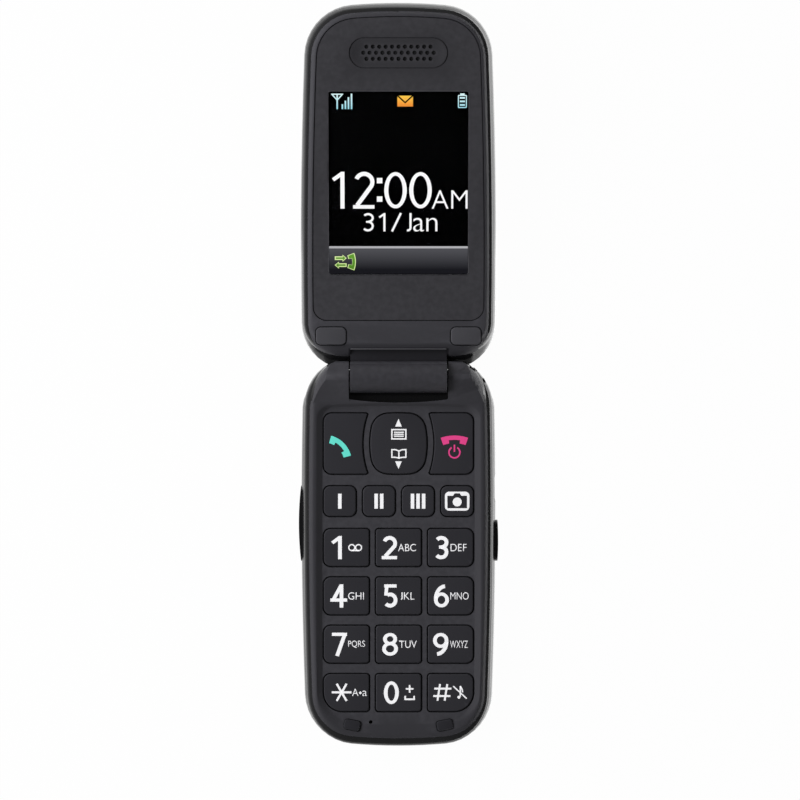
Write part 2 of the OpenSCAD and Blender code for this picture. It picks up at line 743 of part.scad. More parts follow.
pad_near = nav_row - nav_h / 2 - 0.5;
pad_far = first_row + 3 * row_pitch + digit_h / 2 + 0.5;
module key_mat() {
  color("gainsboro") on_base() difference() {
    union() {
      translate([0, -(pad_near + pad_far) / 2, 0])
        plate(2 * pad_edge + 1, pad_far - pad_near, 3, mat_z, mat_z + mat_sheet);
      for (col = [0 : 2], row = [0 : 3])
        translate(digit_at(col, row)) slab(digit_w * 0.6, digit_h * 0.6, mat_z, flange_z);
      for (i = [0 : 3]) translate(quick_at(i)) slab(quick_w * 0.6, quick_h * 0.6, mat_z, flange_z);
      for (s = [-1, 1])
        translate([s * call_mid, -nav_row, 0]) slab(call_w * 0.4, nav_h * 0.5, mat_z, flange_z);
    }
    translate([0, -nav_row, mat_z + mat_sheet]) slab(nav_w, nav_h, 0, 5);
  }
}

module dome_sheet() {
  color("silver") on_base() translate([0, -(pad_near + pad_far) / 2, 0])
    plate(2 * pad_edge, pad_far - pad_near - 1, 2, mat_z - dome_t, mat_z);
}

board_tip = 10.1;
board_side = 4.5;
board_near_gap = 0.4;
board_corner_r = 8;
module main_board() {
  near = max(trough_reach + trough_bow + wall, shoulder_foot) + board_near_gap;
  far = tip_reach - board_tip;
  color("darkgreen") on_base() translate([0, -(near + far) / 2, 0])
    plate(body_w - 2 * board_side, far - near, board_corner_r, board_z, board_z + board_t);
}

can_w = 10;
can_h = 9;
can_t = 1.6;
can_x = 11.5;
can_gap = 0.9;
can_mid = battery_near - fit_gap - bay_wall - can_gap - can_h / 2;
module shield_cans() {
  color("lightsteelblue") on_base() for (s = [-1, 1])
    translate([s * can_x, -can_mid, 0]) plate(can_w, can_h, 0.6, board_z - can_t, board_z);
}

// Battery bay and sockets

module battery() {
  color("slategray") on_base() translate([0, cover_mid, 0])
    plate(battery_w, battery_len, 2, battery_z, battery_z + battery_t);
}

module battery_contacts() {
  reach = fit_gap + bay_wall + 2.4;
  color("gold") on_base() for (i = [-1 : 1])
    translate([i * contact_pitch, -battery_near + reach / 2, 0])
      slab(contact_w, reach, board_z - 1.2, board_z);
}

card_w = 11;
card_h = 12;
card_t = 1.4;
card_x = 12;
module card_holder() {
  color("silver") on_base() translate([-card_x, -camera_mid, 0])
    plate(card_w, card_h, 0.8, floor_z, floor_z + card_t);
}

module usb_socket() {
  inner = half_w - wall - usb_depth - usb_drop;
  color("silver") on_base() translate([inner, -usb_mid, usb_z]) rotate([90, 0, 90]) difference() {
    linear_extrude(usb_depth) pill_2d(usb_w, usb_h);
    translate([0, 0, usb_back]) linear_extrude(usb_depth) pill_2d(usb_w - 2 * usb_wall, usb_h - 2 * usb_wall);
  }
}

module loudspeaker() {
  color("#303034") on_base() translate([speaker_at[0], speaker_at[1], 0])
    plate(speaker_w, speaker_h, 2, floor_z, floor_z + speaker_t);
}

module microphone() {
  color("silver") on_base() translate([mic_at[0], mic_at[1], deck_z - mic_gap - mic_t])
    cylinder(r = mic_r, h = mic_t);
}

antenna_w = 20;
antenna_h = 4.8;
antenna_tip = 7.2;
antenna_gap = 1;
module antenna() {
  color("#b08d57") on_base() translate([0, -tip_reach + antenna_tip, 0])
    plate(antenna_w, antenna_h, 1, floor_z, part_z - antenna_gap);
}

module camera_module() {
  color("#26262a") on_base() translate([0, -camera_mid, 0]) {
    plate(2 * camera_r + 0.8, 2 * camera_r + 0.8, 1, floor_z, board_z);
    translate([0, 0, 1.1]) cylinder(r = camera_r - 0.6, h = floor_z - 0.9);
  }
}

module camera_window() {
  color("#15151a") on_base() translate([0, -camera_mid, 0.2]) cylinder(r = camera_r - 0.05, h = 0.8);
}

// Side keys: pill-shaped, with a flange inside the wall
side_face = half_w + side_key_proud;
module side_pill(side, mid, len) {
  crown_r = 90;
  on_base() translate([0, -mid, side_z]) intersection() {
    translate([side * side_inner, 0, 0]) rotate([90, 0, side * 90]) {
      linear_extrude(side_face + 1 - side_inner) pill_2d(len, side_key_h);
      linear_extrude(side_flange_t) pill_2d(len + side_flange, side_key_h + side_flange);
    }
    translate([side * (side_face - crown_r), 0, -5]) cylinder(r = crown_r, h = 10, $fn = 128);
  }
}

module volume_rocker() {
  color("#2b2b2f") difference() {
    side_pill(-1, rocker_mid, rocker_len);
    on_base() for (t = [-1, 1])
      translate([-side_face - 0.1, -rocker_mid + t * rocker_dot, side_z])
        rotate([0, 90, 0]) cylinder(r = 0.45, h = 0.35);
  }
}
module side_key() {
  color("#2b2b2f") side_pill(1, side_key_mid, side_key_len);
}

switch_len = 4;
switch_t = 1.4;
switch_h = 3.7;
switch_gap = 0.5;
module side_switches() {
  mid = side_inner - switch_gap - switch_t / 2;
  color("silver") on_base() {
    for (t = [-1, 1])
      translate([-mid, -rocker_mid + t * rocker_dot, 0])
        slab(switch_t, switch_len, board_z - switch_h, board_z);
    translate([mid, -side_key_mid, 0]) slab(switch_t, switch_len, board_z - switch_h, board_z);
  }
}

// Hinge pieces

cartridge_len = 10.8;
bush_len = 5.4;
knuckle_half = knuckle_len / 2;
module hinge_shaft() {
  color("silver") on_base() translate([0, 0, hinge_z])
    rod(pin_r, -trough_half - pin_grip, -knuckle_half + 8.4);
}
module hinge_pin() {
  color("silver") on_base() translate([0, 0, hinge_z]) rod(pin_r, knuckle_half - 5, trough_half + pin_grip);
}
module hinge_cartridge() {
  color("gray") on_axis() difference() {
    rod(knuckle_bore_r - 0.02, -knuckle_half, -knuckle_half + cartridge_len);
    rod(pin_r + pin_clear, -knuckle_half - 1, -knuckle_half + 9);
  }
}
module hinge_bush() {
  color("goldenrod") on_axis() difference() {
    rod(knuckle_bore_r - 0.02, knuckle_half - bush_len, knuckle_half);
    rod(pin_r + pin_clear, knuckle_half - bush_len - 1, knuckle_half + 1);
  }
}
module hinge_flex() {
  color("orange") on_axis() difference() {
    rod(knuckle_bore_r - 0.02, -knuckle_half + cartridge_len + 0.4, knuckle_half - bush_len - 0.4);
    rod(knuckle_bore_r - 0.3, -knuckle_half + cartridge_len, knuckle_half - bush_len);
  }
}

module tip_bumpers() {
  color("#232327") on_base() for (s = [-1, 1])
    translate([s * bumper_at[0], bumper_at[1], 0]) rotate(s * bumper_tilt)
      plate(bumper_w, bumper_h, 0.8, deck_top - bumper_d, deck_top + bumper_proud);
}

module base_screws() {
  color("silver") on_base() for (spot = base_screw_spots)
    translate([spot[0], spot[1], 0]) {
      translate([0, 0, 0.6]) cylinder(r = screw_head_r, h = 0.6);
      translate([0, 0, 1]) cylinder(r = screw_r, h = part_z + 0.2);
    }
}

// Lid casings, drawn with the lid in line with the base

frame_outer = [
  [0.45, 4.1, -lid_part], [0.8, 5.1, -1.9], [1.15, 6, -1.35], [1.55, 6.6, -1], [2, 6.95, -0.8],
  [2.2, 7.25, -0.62], [2.45, 7.65, -0.38], [2.7, 8, -0.16], [3.1, 8.6, 0]
];
frame_inner = [
  [2.6 + wall, 10, -lid_deck], [1.5 + wall, 6.2 + wall, -lid_deck - 0.4], [1.5 + wall, 4.1 + wall, -lid_part]
];
panel_inset = 3.55;
panel_corner_r = 3.7;
pad_at = [18.4, 11.3];
pad_w = 8.3;
pad_h = 4.85;
pad_d = 0.55;
face_edge = 7.45;
valley_z = -2.3;
arm_t = 1.9;
lid_screw_top = [15.5, tip_reach - 7.2];

// Outline of the face panel, grown by g
module panel_2d(g) {
  foot = panel_foot - g;
  intersection() {
    polygon(flat(ring(lid_arcs, [panel_inset - g, panel_inset - g, 0])));
    translate([0, (foot + 2 * tip_reach) / 2])
      plate_2d(
        2 * (half_w - panel_inset + g), 2 * tip_reach - foot, grown([1, 1, panel_corner_r, panel_corner_r], g)
      );
  }
}

module pad_2d(g) {
  plate_2d(pad_w + 2 * g, pad_h + 2 * g, [1.4, 1.4, 1.4, 1.4]);
}

module lid_inner_frame() {
  color("#3d3c41") on_lid() difference() {
    union() {
      difference() {
        skin([for (r = concat(frame_inner, frame_outer)) lid_ring(r)]);
        translate([-knuckle_half, -5, valley_z]) cube([knuckle_len, face_edge + 5, 10]);
        translate([0, 0, shut_gap / 2]) rod(lid_end_r, -half_w, half_w);
      }
      translate([0, 0, shut_gap / 2]) rod(hinge_r, -knuckle_half, knuckle_half);
      translate([-knuckle_half, 0, valley_z - arm_t]) cube([knuckle_len, face_edge + 3.4, arm_t]);
      for (s = [-1, 1])
        translate([s * lid_screw_top[0], lid_screw_top[1], -lid_part])
          cylinder(r = boss_r + 0.1, h = lid_part - recess_d - 0.2);
    }
    translate([0, 0, shut_gap / 2]) rod(knuckle_bore_r, -knuckle_half - 1, knuckle_half + 1);
    translate([0, 0, -recess_d]) linear_extrude(5) panel_2d(panel_gap);
    translate([0, screen_mid, 0]) slab(screen_w - 1.6, screen_h - 1.6, -5, 1);
    translate([0, ear_mid, 0]) slab(ear_w - 1.4, ear_h - 1.4, -5, 1);
    for (s = [-1, 1]) {
      translate([s * pad_at[0], pad_at[1], -pad_d]) linear_extrude(3) pad_2d(0.05);
      translate([s * pad_at[0], pad_at[1], -5]) cylinder(r = screw_r + 0.1, h = 6);
      translate([s * pad_at[0], pad_at[1], -pad_d - 0.65]) cylinder(r = screw_head_r + 0.1, h = 3);
      translate([s * lid_screw_top[0], lid_screw_top[1], -5]) cylinder(r = screw_r + 0.1, h = 6);
      translate([s * lid_screw_top[0], lid_screw_top[1], -recess_d - 0.65])
        cylinder(r = screw_head_r + 0.1, h = 3);
    }
  }
}

cover_h = lid_t - lid_part - part_gap;
function cover_level(share) = -lid_t + share * cover_h;
cover_outer = [for (r = [
    [10, 11, 0], [7, 8, 0.0127], [4.5, 5.2, 0.0455], [2.4, 2.8, 0.118], [1, 1.2, 0.236], [0.25, 0.3, 0.382],
    [0, 0, 0.545], [0.03, 0.9, 0.673], [0.15, 2.2, 0.83], [0.4, 4.2, 1]
  ]) [r[0], r[1], cover_level(r[2])]];
cover_inner = concat(
  [for (i = [9, 8, 7, 6]) [cover_outer[i][0] + wall, cover_outer[i][1] + wall, cover_outer[i][2]]],
  [[1.4 + wall, 1.6 + wall, cover_level(0.309)], [3.4 + wall, 3.8 + wall, -lid_floor]]
);

module lid_outer_cover() {
  color("#2b2b2f") on_lid() difference() {
    union() {
      skin([for (r = concat(cover_outer, cover_inner)) lid_ring(r)]);
      for (s = [-1, 1]) {
        translate([s * pad_at[0], pad_at[1], -lid_floor - 0.2])
          cylinder(r = boss_r, h = lid_floor - lid_part + 0.1);
        translate([s * lid_screw_top[0], lid_screw_top[1], -lid_floor - 0.2])
          cylinder(r = boss_r, h = lid_floor - lid_part + 0.1);
      }
    }
    translate([0, 0, shut_gap / 2]) rod(lid_end_r, -half_w, half_w);
    translate([-knuckle_half - 0.15, -5, valley_z - arm_t - 0.15])
      cube([knuckle_len + 0.3, face_edge + 8.55, 10]);
    for (s = [-1, 1]) {
      translate([s * pad_at[0], pad_at[1], -lid_floor]) cylinder(r = screw_r + 0.02, h = 10);
      translate([s * lid_screw_top[0], lid_screw_top[1], -lid_floor]) cylinder(r = screw_r + 0.02, h = 10);
    }
  }
}

// Face panel with its display opening and the dished earpiece
dish_d = 0.5;
dish_r = (pow(ear_h / 2, 2) + pow(dish_d, 2)) / (2 * dish_d);
ear_pitch = 1.72;
ear_row = 1.62;
ear_holes = 12;
ear_groove_w = 0.3;
ear_groove_d = 0.3;
ear_rim = 0.06;
module earpiece_dish() {
  straight = (ear_w - ear_h) / 2;
  translate([0, 0, dish_r - dish_d]) {
    rod(dish_r, -straight, straight);
    for (s = [-1, 1]) translate([s * straight, 0, 0]) rotate_extrude($fn = 96) intersection() {
      circle(dish_r, $fn = 128);
      translate([0, -dish_r]) square([dish_r, 2 * dish_r]);
    }
  }
}

module face_panel() {
  color("#3a393e") on_lid() difference() {
    translate([0, 0, -panel_drop - panel_t]) linear_extrude(panel_t) panel_2d(0);
    translate([0, screen_mid, 0]) plate(screen_w, screen_h, 0.5, -5, 1);
    translate([0, ear_mid, -panel_drop]) earpiece_dish();
    translate([0, ear_mid, -panel_drop - ear_groove_d]) linear_extrude(1) difference() {
      pill_2d(ear_w + 2 * ear_groove_w + ear_rim, ear_h + 2 * ear_groove_w + ear_rim);
      pill_2d(ear_w + ear_rim, ear_h + ear_rim);
    }
    for (row = [-1 : 1], i = [0 : ear_holes - 1 - abs(row)])
      translate([(i - (ear_holes - 1 - abs(row)) / 2) * ear_pitch, ear_mid + row * ear_row, -5])
        cylinder(r = ear_hole_r, h = 6, $fn = 20);
  }
}

module display_window() {
  color("#101014") on_lid() translate([0, screen_mid, 0])
    plate(screen_w - 0.1, screen_h - 0.1, 0.45, -recess_d, -window_drop);
}

module display_module() {
  color("#1c1c22") on_lid() translate([0, screen_mid, 0])
    plate(screen_w + 3, screen_h + 5, 0.6, -module_top - module_t, -module_top);
}

module lid_board() {
  color("darkgreen") on_lid() translate([0, screen_mid, 0])
    plate(screen_w + 1, screen_h + 12, 2, -lid_board_top - lid_board_t, -lid_board_top);
}

mesh_t = 0.15;
capsule_w = 15;
capsule_h = 6;
capsule_t = 2.25;
module earpiece_mesh() {
  color("#202024") on_lid() translate([0, ear_mid, 0])
    slab(ear_w - 1.6, ear_h - 1.6, -recess_d - mesh_t, -recess_d + 0.05);
}

module earpiece_capsule() {
  color("#303034") on_lid() translate([0, ear_mid, 0])
    plate(capsule_w, capsule_h, 1.5, -recess_d - mesh_t - capsule_t, -recess_d - mesh_t);
}

motor_r = 4;
motor_t = 2.4;
motor_x = 12;
module vibration_motor() {
  color("silver") on_lid() translate([-motor_x, ear_mid, -lid_floor]) cylinder(r = motor_r, h = motor_t);
}

magnet_w = 5;
magnet_h = 3;
magnet_t = 2;
magnet_x = 13;
module lid_magnet() {
  color("gray") on_lid() translate([magnet_x, ear_mid, 0])
    slab(magnet_w, magnet_h, -lid_floor, -lid_floor + magnet_t);
}

module lid_pads() {
  color("#434247") on_lid() for (s = [-1, 1])
    translate([s * pad_at[0], pad_at[1], -pad_d]) linear_extrude(pad_d + 0.12) pad_2d(0);
}

module lid_screws() {
  color("silver") on_lid() for (s = [-1, 1], spot = [[pad_at, pad_d], [lid_screw_top, recess_d]])
    translate([s * spot[0][0], spot[0][1], -spot[1] - 0.65]) {
      cylinder(r = screw_head_r, h = 0.55);
      translate([0, 0, -lid_part - 0.8]) cylinder(r = screw_r, h = lid_part + 1);
    }
}

lid_outer_cover();
lid_inner_frame();
face_panel();
display_window();
display_module();
lid_board();
earpiece_capsule();
earpiece_mesh();
vibration_motor();
lid_magnet();
lid_pads();
lid_screws();
hinge_cartridge();
hinge_bush();
hinge_flex();
base_front_casing();
base_rear_casing();
key_mat();
dome_sheet();
main_board();
shield_cans();
battery();
battery_contacts();
card_holder();
usb_socket();
loudspeaker();
microphone();
antenna();
camera_module();
camera_window();
side_switches();
hinge_shaft();
hinge_pin();
tip_bumpers();
base_screws();
battery_cover();
volume_rocker();
side_key();
nav_key();
key_call();
key_end();
key_quick_1();
key_quick_2();
key_quick_3();
key_camera();
key_1();
key_2();
key_3();
key_4();
key_5();
key_6();
key_7();
key_8();
key_9();
key_star();
key_0();
key_hash();
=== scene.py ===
"""Visual dressing of an open flip phone with large keys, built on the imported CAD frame."""
import json
import logging
import math
from dataclasses import dataclass, field
from enum import Enum
from typing import Callable, Iterable, Union

import bpy
from mathutils import Matrix, Vector, geometry


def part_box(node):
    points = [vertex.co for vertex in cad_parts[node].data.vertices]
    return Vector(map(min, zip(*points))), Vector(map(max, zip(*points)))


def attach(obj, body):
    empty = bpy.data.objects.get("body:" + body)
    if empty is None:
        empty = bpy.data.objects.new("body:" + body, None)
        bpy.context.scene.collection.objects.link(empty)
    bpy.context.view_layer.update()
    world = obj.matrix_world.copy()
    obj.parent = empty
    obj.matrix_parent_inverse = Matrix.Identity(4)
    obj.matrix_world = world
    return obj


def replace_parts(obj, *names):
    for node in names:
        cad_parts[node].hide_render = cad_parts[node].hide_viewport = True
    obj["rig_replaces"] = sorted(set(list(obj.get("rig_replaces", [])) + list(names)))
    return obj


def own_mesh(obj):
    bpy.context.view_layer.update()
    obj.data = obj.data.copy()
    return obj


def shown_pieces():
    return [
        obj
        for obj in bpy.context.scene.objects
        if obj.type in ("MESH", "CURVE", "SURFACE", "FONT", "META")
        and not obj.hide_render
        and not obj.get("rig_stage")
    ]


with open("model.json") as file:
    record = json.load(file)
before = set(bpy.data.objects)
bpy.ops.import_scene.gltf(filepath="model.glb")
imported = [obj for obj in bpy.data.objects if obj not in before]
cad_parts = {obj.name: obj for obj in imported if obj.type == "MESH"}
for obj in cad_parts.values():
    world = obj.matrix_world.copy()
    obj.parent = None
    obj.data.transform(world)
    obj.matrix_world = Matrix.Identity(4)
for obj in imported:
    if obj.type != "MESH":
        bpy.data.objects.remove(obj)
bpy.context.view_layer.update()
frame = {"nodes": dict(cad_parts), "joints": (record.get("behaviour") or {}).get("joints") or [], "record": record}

LOG = logging.getLogger("flip_phone")
MM = 0.001
DOT_PITCH = 0.16 * MM
# Where most values of a noise texture lie
NOISE_SPAN = (0.35, 0.65)
# Length of one wave of a wave texture at scale 1
WAVE_LENGTH = 0.31416
RECORD = frame["record"]
NODES = frame["nodes"]
BODY_OF = {node: body for body, nodes in RECORD["behaviour"]["bodies"].items() for node in nodes}
SLOT_OF = {part["node"]: part["material_slot"] for part in RECORD["subparts"]}

Point = tuple[float, float]
Loop = list[Point]
Shape = list[Loop]
Colour = tuple[float, float, float]
Piece = bpy.types.Object
Socket = bpy.types.NodeSocket
Feed = Union[Socket, float, Colour]
FaceTest = Callable[[bpy.types.MeshPolygon], bool]


class Slot(Enum):
    """Material slots of the record."""

    GLOSS_SHELL = "gloss_shell"
    MATT_SHELL = "matt_shell"
    FACE_PANEL = "face_panel"
    KEY = "key"
    CLEAR_WINDOW = "clear_window"
    DISPLAY = "display"
    BOARD = "board"
    DARK_PLASTIC = "dark_plastic"
    MESH = "mesh"
    STEEL = "steel"
    BRASS = "brass"
    RUBBER = "rubber"
    SILICONE = "silicone"
    FLEX = "flex"
    BATTERY = "battery"


class Start(Enum):
    """What is selected when edit mode starts."""

    ALL = "everything"
    KEPT = "the selection made in object mode"


# Workbench: selecting, editing and finishing meshes


def pick(piece: Piece) -> None:
    """Make one piece the only selected and active object.

    Args:
        piece: the object.
    """
    bpy.ops.object.select_all(action="DESELECT")
    piece.select_set(True)
    bpy.context.view_layer.objects.active = piece


class EditMode:
    """Edit mode on one piece, left again at the end of a with block."""

    def __init__(self, piece: Piece, start: Start = Start.ALL) -> None:
        """Keep the piece and what starts out selected."""
        self.piece = piece
        self.start = start

    def __enter__(self) -> None:
        """Enter edit mode."""
        pick(self.piece)
        bpy.ops.object.mode_set(mode="EDIT")
        if self.start is Start.ALL:
            bpy.ops.mesh.select_all(action="SELECT")

    def __exit__(self, *_: object) -> None:
        """Return to object mode."""
        bpy.ops.object.mode_set(mode="OBJECT")


def deselect(mesh: bpy.types.Mesh) -> None:
    """Deselect every vertex, edge and face of a mesh."""
    for group in (mesh.vertices, mesh.edges, mesh.polygons):
        group.foreach_set("select", [False] * len(group))


def select_faces(piece: Piece, test: FaceTest) -> None:
    """Select the faces that pass a test, and nothing else.

    Args:
        piece: the mesh object, in object mode.
        test: called with each face.
    """
    deselect(piece.data)
    chosen = [face for face in piece.data.polygons if test(face)]
    for face in chosen:
        face.select = True


def select_creases(piece: Piece, test: Callable[[Vector], bool], least: float = 40.0) -> None:
    """Select the edges whose faces meet at a clear angle and whose middle passes a test.

    Args:
        piece: the mesh object, in object mode.
        test: called with each such edge's middle.
        least: smallest angle between the faces, in degrees.
    """
    mesh = piece.data
    deselect(mesh)
    normals: dict[tuple[int, int], list[Vector]] = {}
    for face in mesh.polygons:
        for key in face.edge_keys:
            normals.setdefault(key, []).append(face.normal)
    for edge in mesh.edges:
        sides = normals.get(edge.key, [])
        middle = (mesh.vertices[edge.key[0]].co + mesh.vertices[edge.key[1]].co) / 2
        if len(sides) == 2 and sides[0].angle(sides[1], 0.0) > math.radians(least) and test(middle):
            edge.select = True


def finish_with(piece: Piece, kind: str, **settings: object) -> None:
    """Add a modifier to a piece, set it and apply it.

    Args:
        piece: the mesh object.
        kind: the modifier's type.
        settings: its properties.
    """
    pick(piece)
    modifier = piece.modifiers.new(kind.lower(), kind)
    for name, value in settings.items():
        setattr(modifier, name, value)
    bpy.ops.object.modifier_apply(modifier=modifier.name)


def smooth(piece: Piece, degrees: float = 35.0) -> None:
    """Shade a piece smooth, apart from edges sharper than an angle."""
    pick(piece)
    bpy.ops.object.shade_smooth_by_angle(angle=math.radians(degrees))


def face_outwards(piece: Piece) -> None:
    """Turn the faces of a closed piece outwards."""
    with EditMode(piece):
        bpy.ops.mesh.normals_make_consistent(inside=False)


def place(piece: Piece, matrix: Matrix) -> None:
    """Put a piece's place into its mesh, so that its object sits at the origin.

    Args:
        piece: the object.
        matrix: its move into the row frame.
    """
    piece.matrix_world = matrix @ piece.matrix_world
    pick(piece)
    bpy.ops.object.transform_apply(location=True, rotation=True, scale=True)


def merged_copy(node: str, name: str, reach: float = 1e-7) -> Piece:
    """Copy a CAD node as a new piece with its loose triangles merged.

    Args:
        node: name of the CAD node.
        name: name of the new piece.
        reach: points closer than this become one.

    Returns:
        The copy, with a mesh of its own.
    """
    piece = bpy.data.objects.new(name, NODES[node].data.copy())
    bpy.context.scene.collection.objects.link(piece)
    piece.data.materials.clear()
    pick(piece)
    bpy.ops.mesh.customdata_custom_splitnormals_clear()
    with EditMode(piece):
        bpy.ops.mesh.remove_doubles(threshold=reach)
    return piece


def corners(points: Iterable[Vector]) -> tuple[Vector, Vector]:
    """Return the lowest and the highest corner of the box round points."""
    axes = list(zip(*points))
    return Vector(map(min, axes)), Vector(map(max, axes))


def joined(pieces: list[Piece], name: str) -> Piece:
    """Join pieces into one and name it.

    Args:
        pieces: the pieces; the first takes in the others.
        name: name of the whole.

    Returns:
        The whole.
    """
    pick(pieces[0])
    for piece in pieces[1:]:
        piece.select_set(True)
    if len(pieces) > 1:
        bpy.ops.object.join()
    pieces[0].name = name
    return pieces[0]


def block(name: str, size: Vector, middle: Vector, corner: float, edge: float) -> Piece:
    """Model a rounded block from a cube: its upright edges, then its upper rim, are bevelled.

    Args:
        name: name of the piece.
        size: its three sides, in metres.
        middle: its middle, in metres.
        corner: radius of the upright edges.
        edge: width of the rim's bevel.

    Returns:
        The block.
    """
    bpy.ops.object.select_all(action="DESELECT")
    bpy.ops.mesh.primitive_cube_add(size=1.0)
    piece = bpy.context.object
    piece.name = name
    place(piece, Matrix.Translation(middle) @ Matrix.Diagonal((*size, 1.0)))
    settings = bpy.context.tool_settings
    settings.mesh_select_mode = (False, True, False)
    select_creases(piece, lambda at: abs(at.z - middle.z) < size.z * 0.1)
    with EditMode(piece, Start.KEPT):
        bpy.ops.mesh.bevel(offset=corner, segments=6, affect="EDGES")
    select_creases(piece, lambda at: at.z > middle.z + size.z * 0.4)
    with EditMode(piece, Start.KEPT):
        bpy.ops.mesh.bevel(offset=edge, segments=3, affect="EDGES")
    settings.mesh_select_mode = (True, False, False)
    smooth(piece)
    return piece


# Shader trees


class Tree:
    """A node tree, with short ways to add nodes and join them."""

    def __init__(self, tree: bpy.types.NodeTree) -> None:
        """Keep the tree."""
        self.tree = tree

    def add(self, kind: str, values: dict[str, Feed] | None = None, **options: object) -> bpy.types.Node:
        """Add a node.

        Args:
            kind: the node's type after ShaderNode.
            values: sockets by name, each with a number, a colour or an output to join.
            options: properties of the node.

        Returns:
            The node.
        """
        node = self.tree.nodes.new("ShaderNode" + kind)
        for name, value in options.items():
            setattr(node, name, value)
        for name, value in (values or {}).items():
            self.feed(node.inputs[name], value)
        return node

    def feed(self, socket: Socket, value: Feed) -> None:
        """Join an output to a socket, or set the socket's own value.

        Args:
            socket: the input.
            value: an output to join, or a number or colour to set.
        """
        if isinstance(value, bpy.types.NodeSocket):
            self.tree.links.new(value, socket)
        elif isinstance(value, tuple) and len(socket.default_value) == 4:
            socket.default_value = (*value, 1.0)
        else:
            socket.default_value = value

    def span(self, value: Feed, low: float, high: float, start: Feed, end: Feed) -> Socket:
        """Map a value from low..high to start..end, held at both ends."""
        values = {"Value": value, "From Min": low, "From Max": high, "To Min": start, "To Max": end}
        return self.add("MapRange", values).outputs["Result"]

    def math(self, operation: str, a: Feed, b: Feed) -> Socket:
        """Join two values by an operation of the Math node.

        Args:
            operation: the operation.
            a: first value.
            b: second value.

        Returns:
            The result.
        """
        node = self.add("Math", operation=operation)
        self.feed(node.inputs[0], a)
        self.feed(node.inputs[1], b)
        return node.outputs[0]

    def mix(self, factor: Feed, a: Feed, b: Feed) -> Socket:
        """Mix two colours.

        Args:
            factor: share of the second colour.
            a: first colour.
            b: second colour.

        Returns:
            The mixed colour.
        """
        node = self.add("Mix", data_type="RGBA")
        self.feed(node.inputs[0], factor)
        self.feed(node.inputs[6], a)
        self.feed(node.inputs[7], b)
        return node.outputs[2]

    def noise(self, scale: Feed, detail: float = 3.0) -> Socket:
        """Add a noise on Object coordinates and return its value."""
        values = {"Vector": self.add("TexCoord").outputs["Object"], "Scale": scale, "Detail": detail}
        return self.add("TexNoise", values).outputs["Fac"]


class Sheet(Tree):
    """A material's tree with a Principled shader at its end."""

    def __init__(self, name: str) -> None:
        """Make the material and its shader.

        Args:
            name: the material's name.
        """
        self.material = bpy.data.materials.new(name)
        self.material.use_nodes = True
        super().__init__(self.material.node_tree)
        self.tree.nodes.clear()
        self.shader = self.add("BsdfPrincipled")
        self.add("OutputMaterial", {"Surface": self.shader.outputs[0]})

    def set(self, **values: Feed) -> None:
        """Feed the shader's sockets, named with _ for a space."""
        for name, value in values.items():
            self.feed(self.shader.inputs[name.replace("_", " ")], value)

    def use(self, group: bpy.types.NodeTree, **values: Feed) -> bpy.types.Node:
        """Place a node group and feed its inputs.

        Args:
            group: the node group.
            values: its inputs, named with _ for a space.

        Returns:
            The group's node.
        """
        node = self.add("Group", node_tree=group)
        for name, value in values.items():
            self.feed(node.inputs[name.replace("_", " ")], value)
        return node

    def bump(self, height: Socket, distance: float, strength: float = 1.0) -> None:
        """Feed the shader's normal from a height."""
        values = {"Height": height, "Distance": distance, "Strength": strength}
        self.set(Normal=self.add("Bump", values).outputs["Normal"])


class Group(Tree):
    """A shader node group with named sockets."""

    def __init__(self, name: str, takes: Iterable[str], gives: Iterable[str]) -> None:
        """Make the group.

        Args:
            name: name of the group.
            takes: inputs; a name that ends in olour is a colour, any other a number.
            gives: outputs, named by the same rule.
        """
        super().__init__(bpy.data.node_groups.new(name, "ShaderNodeTree"))
        for direction, names in (("INPUT", takes), ("OUTPUT", gives)):
            for label in names:
                kind = "NodeSocketColor" if label.endswith("olour") else "NodeSocketFloat"
                self.tree.interface.new_socket(label, in_out=direction, socket_type=kind)
        self.inputs = self.tree.nodes.new("NodeGroupInput").outputs
        self.outputs = self.tree.nodes.new("NodeGroupOutput").inputs


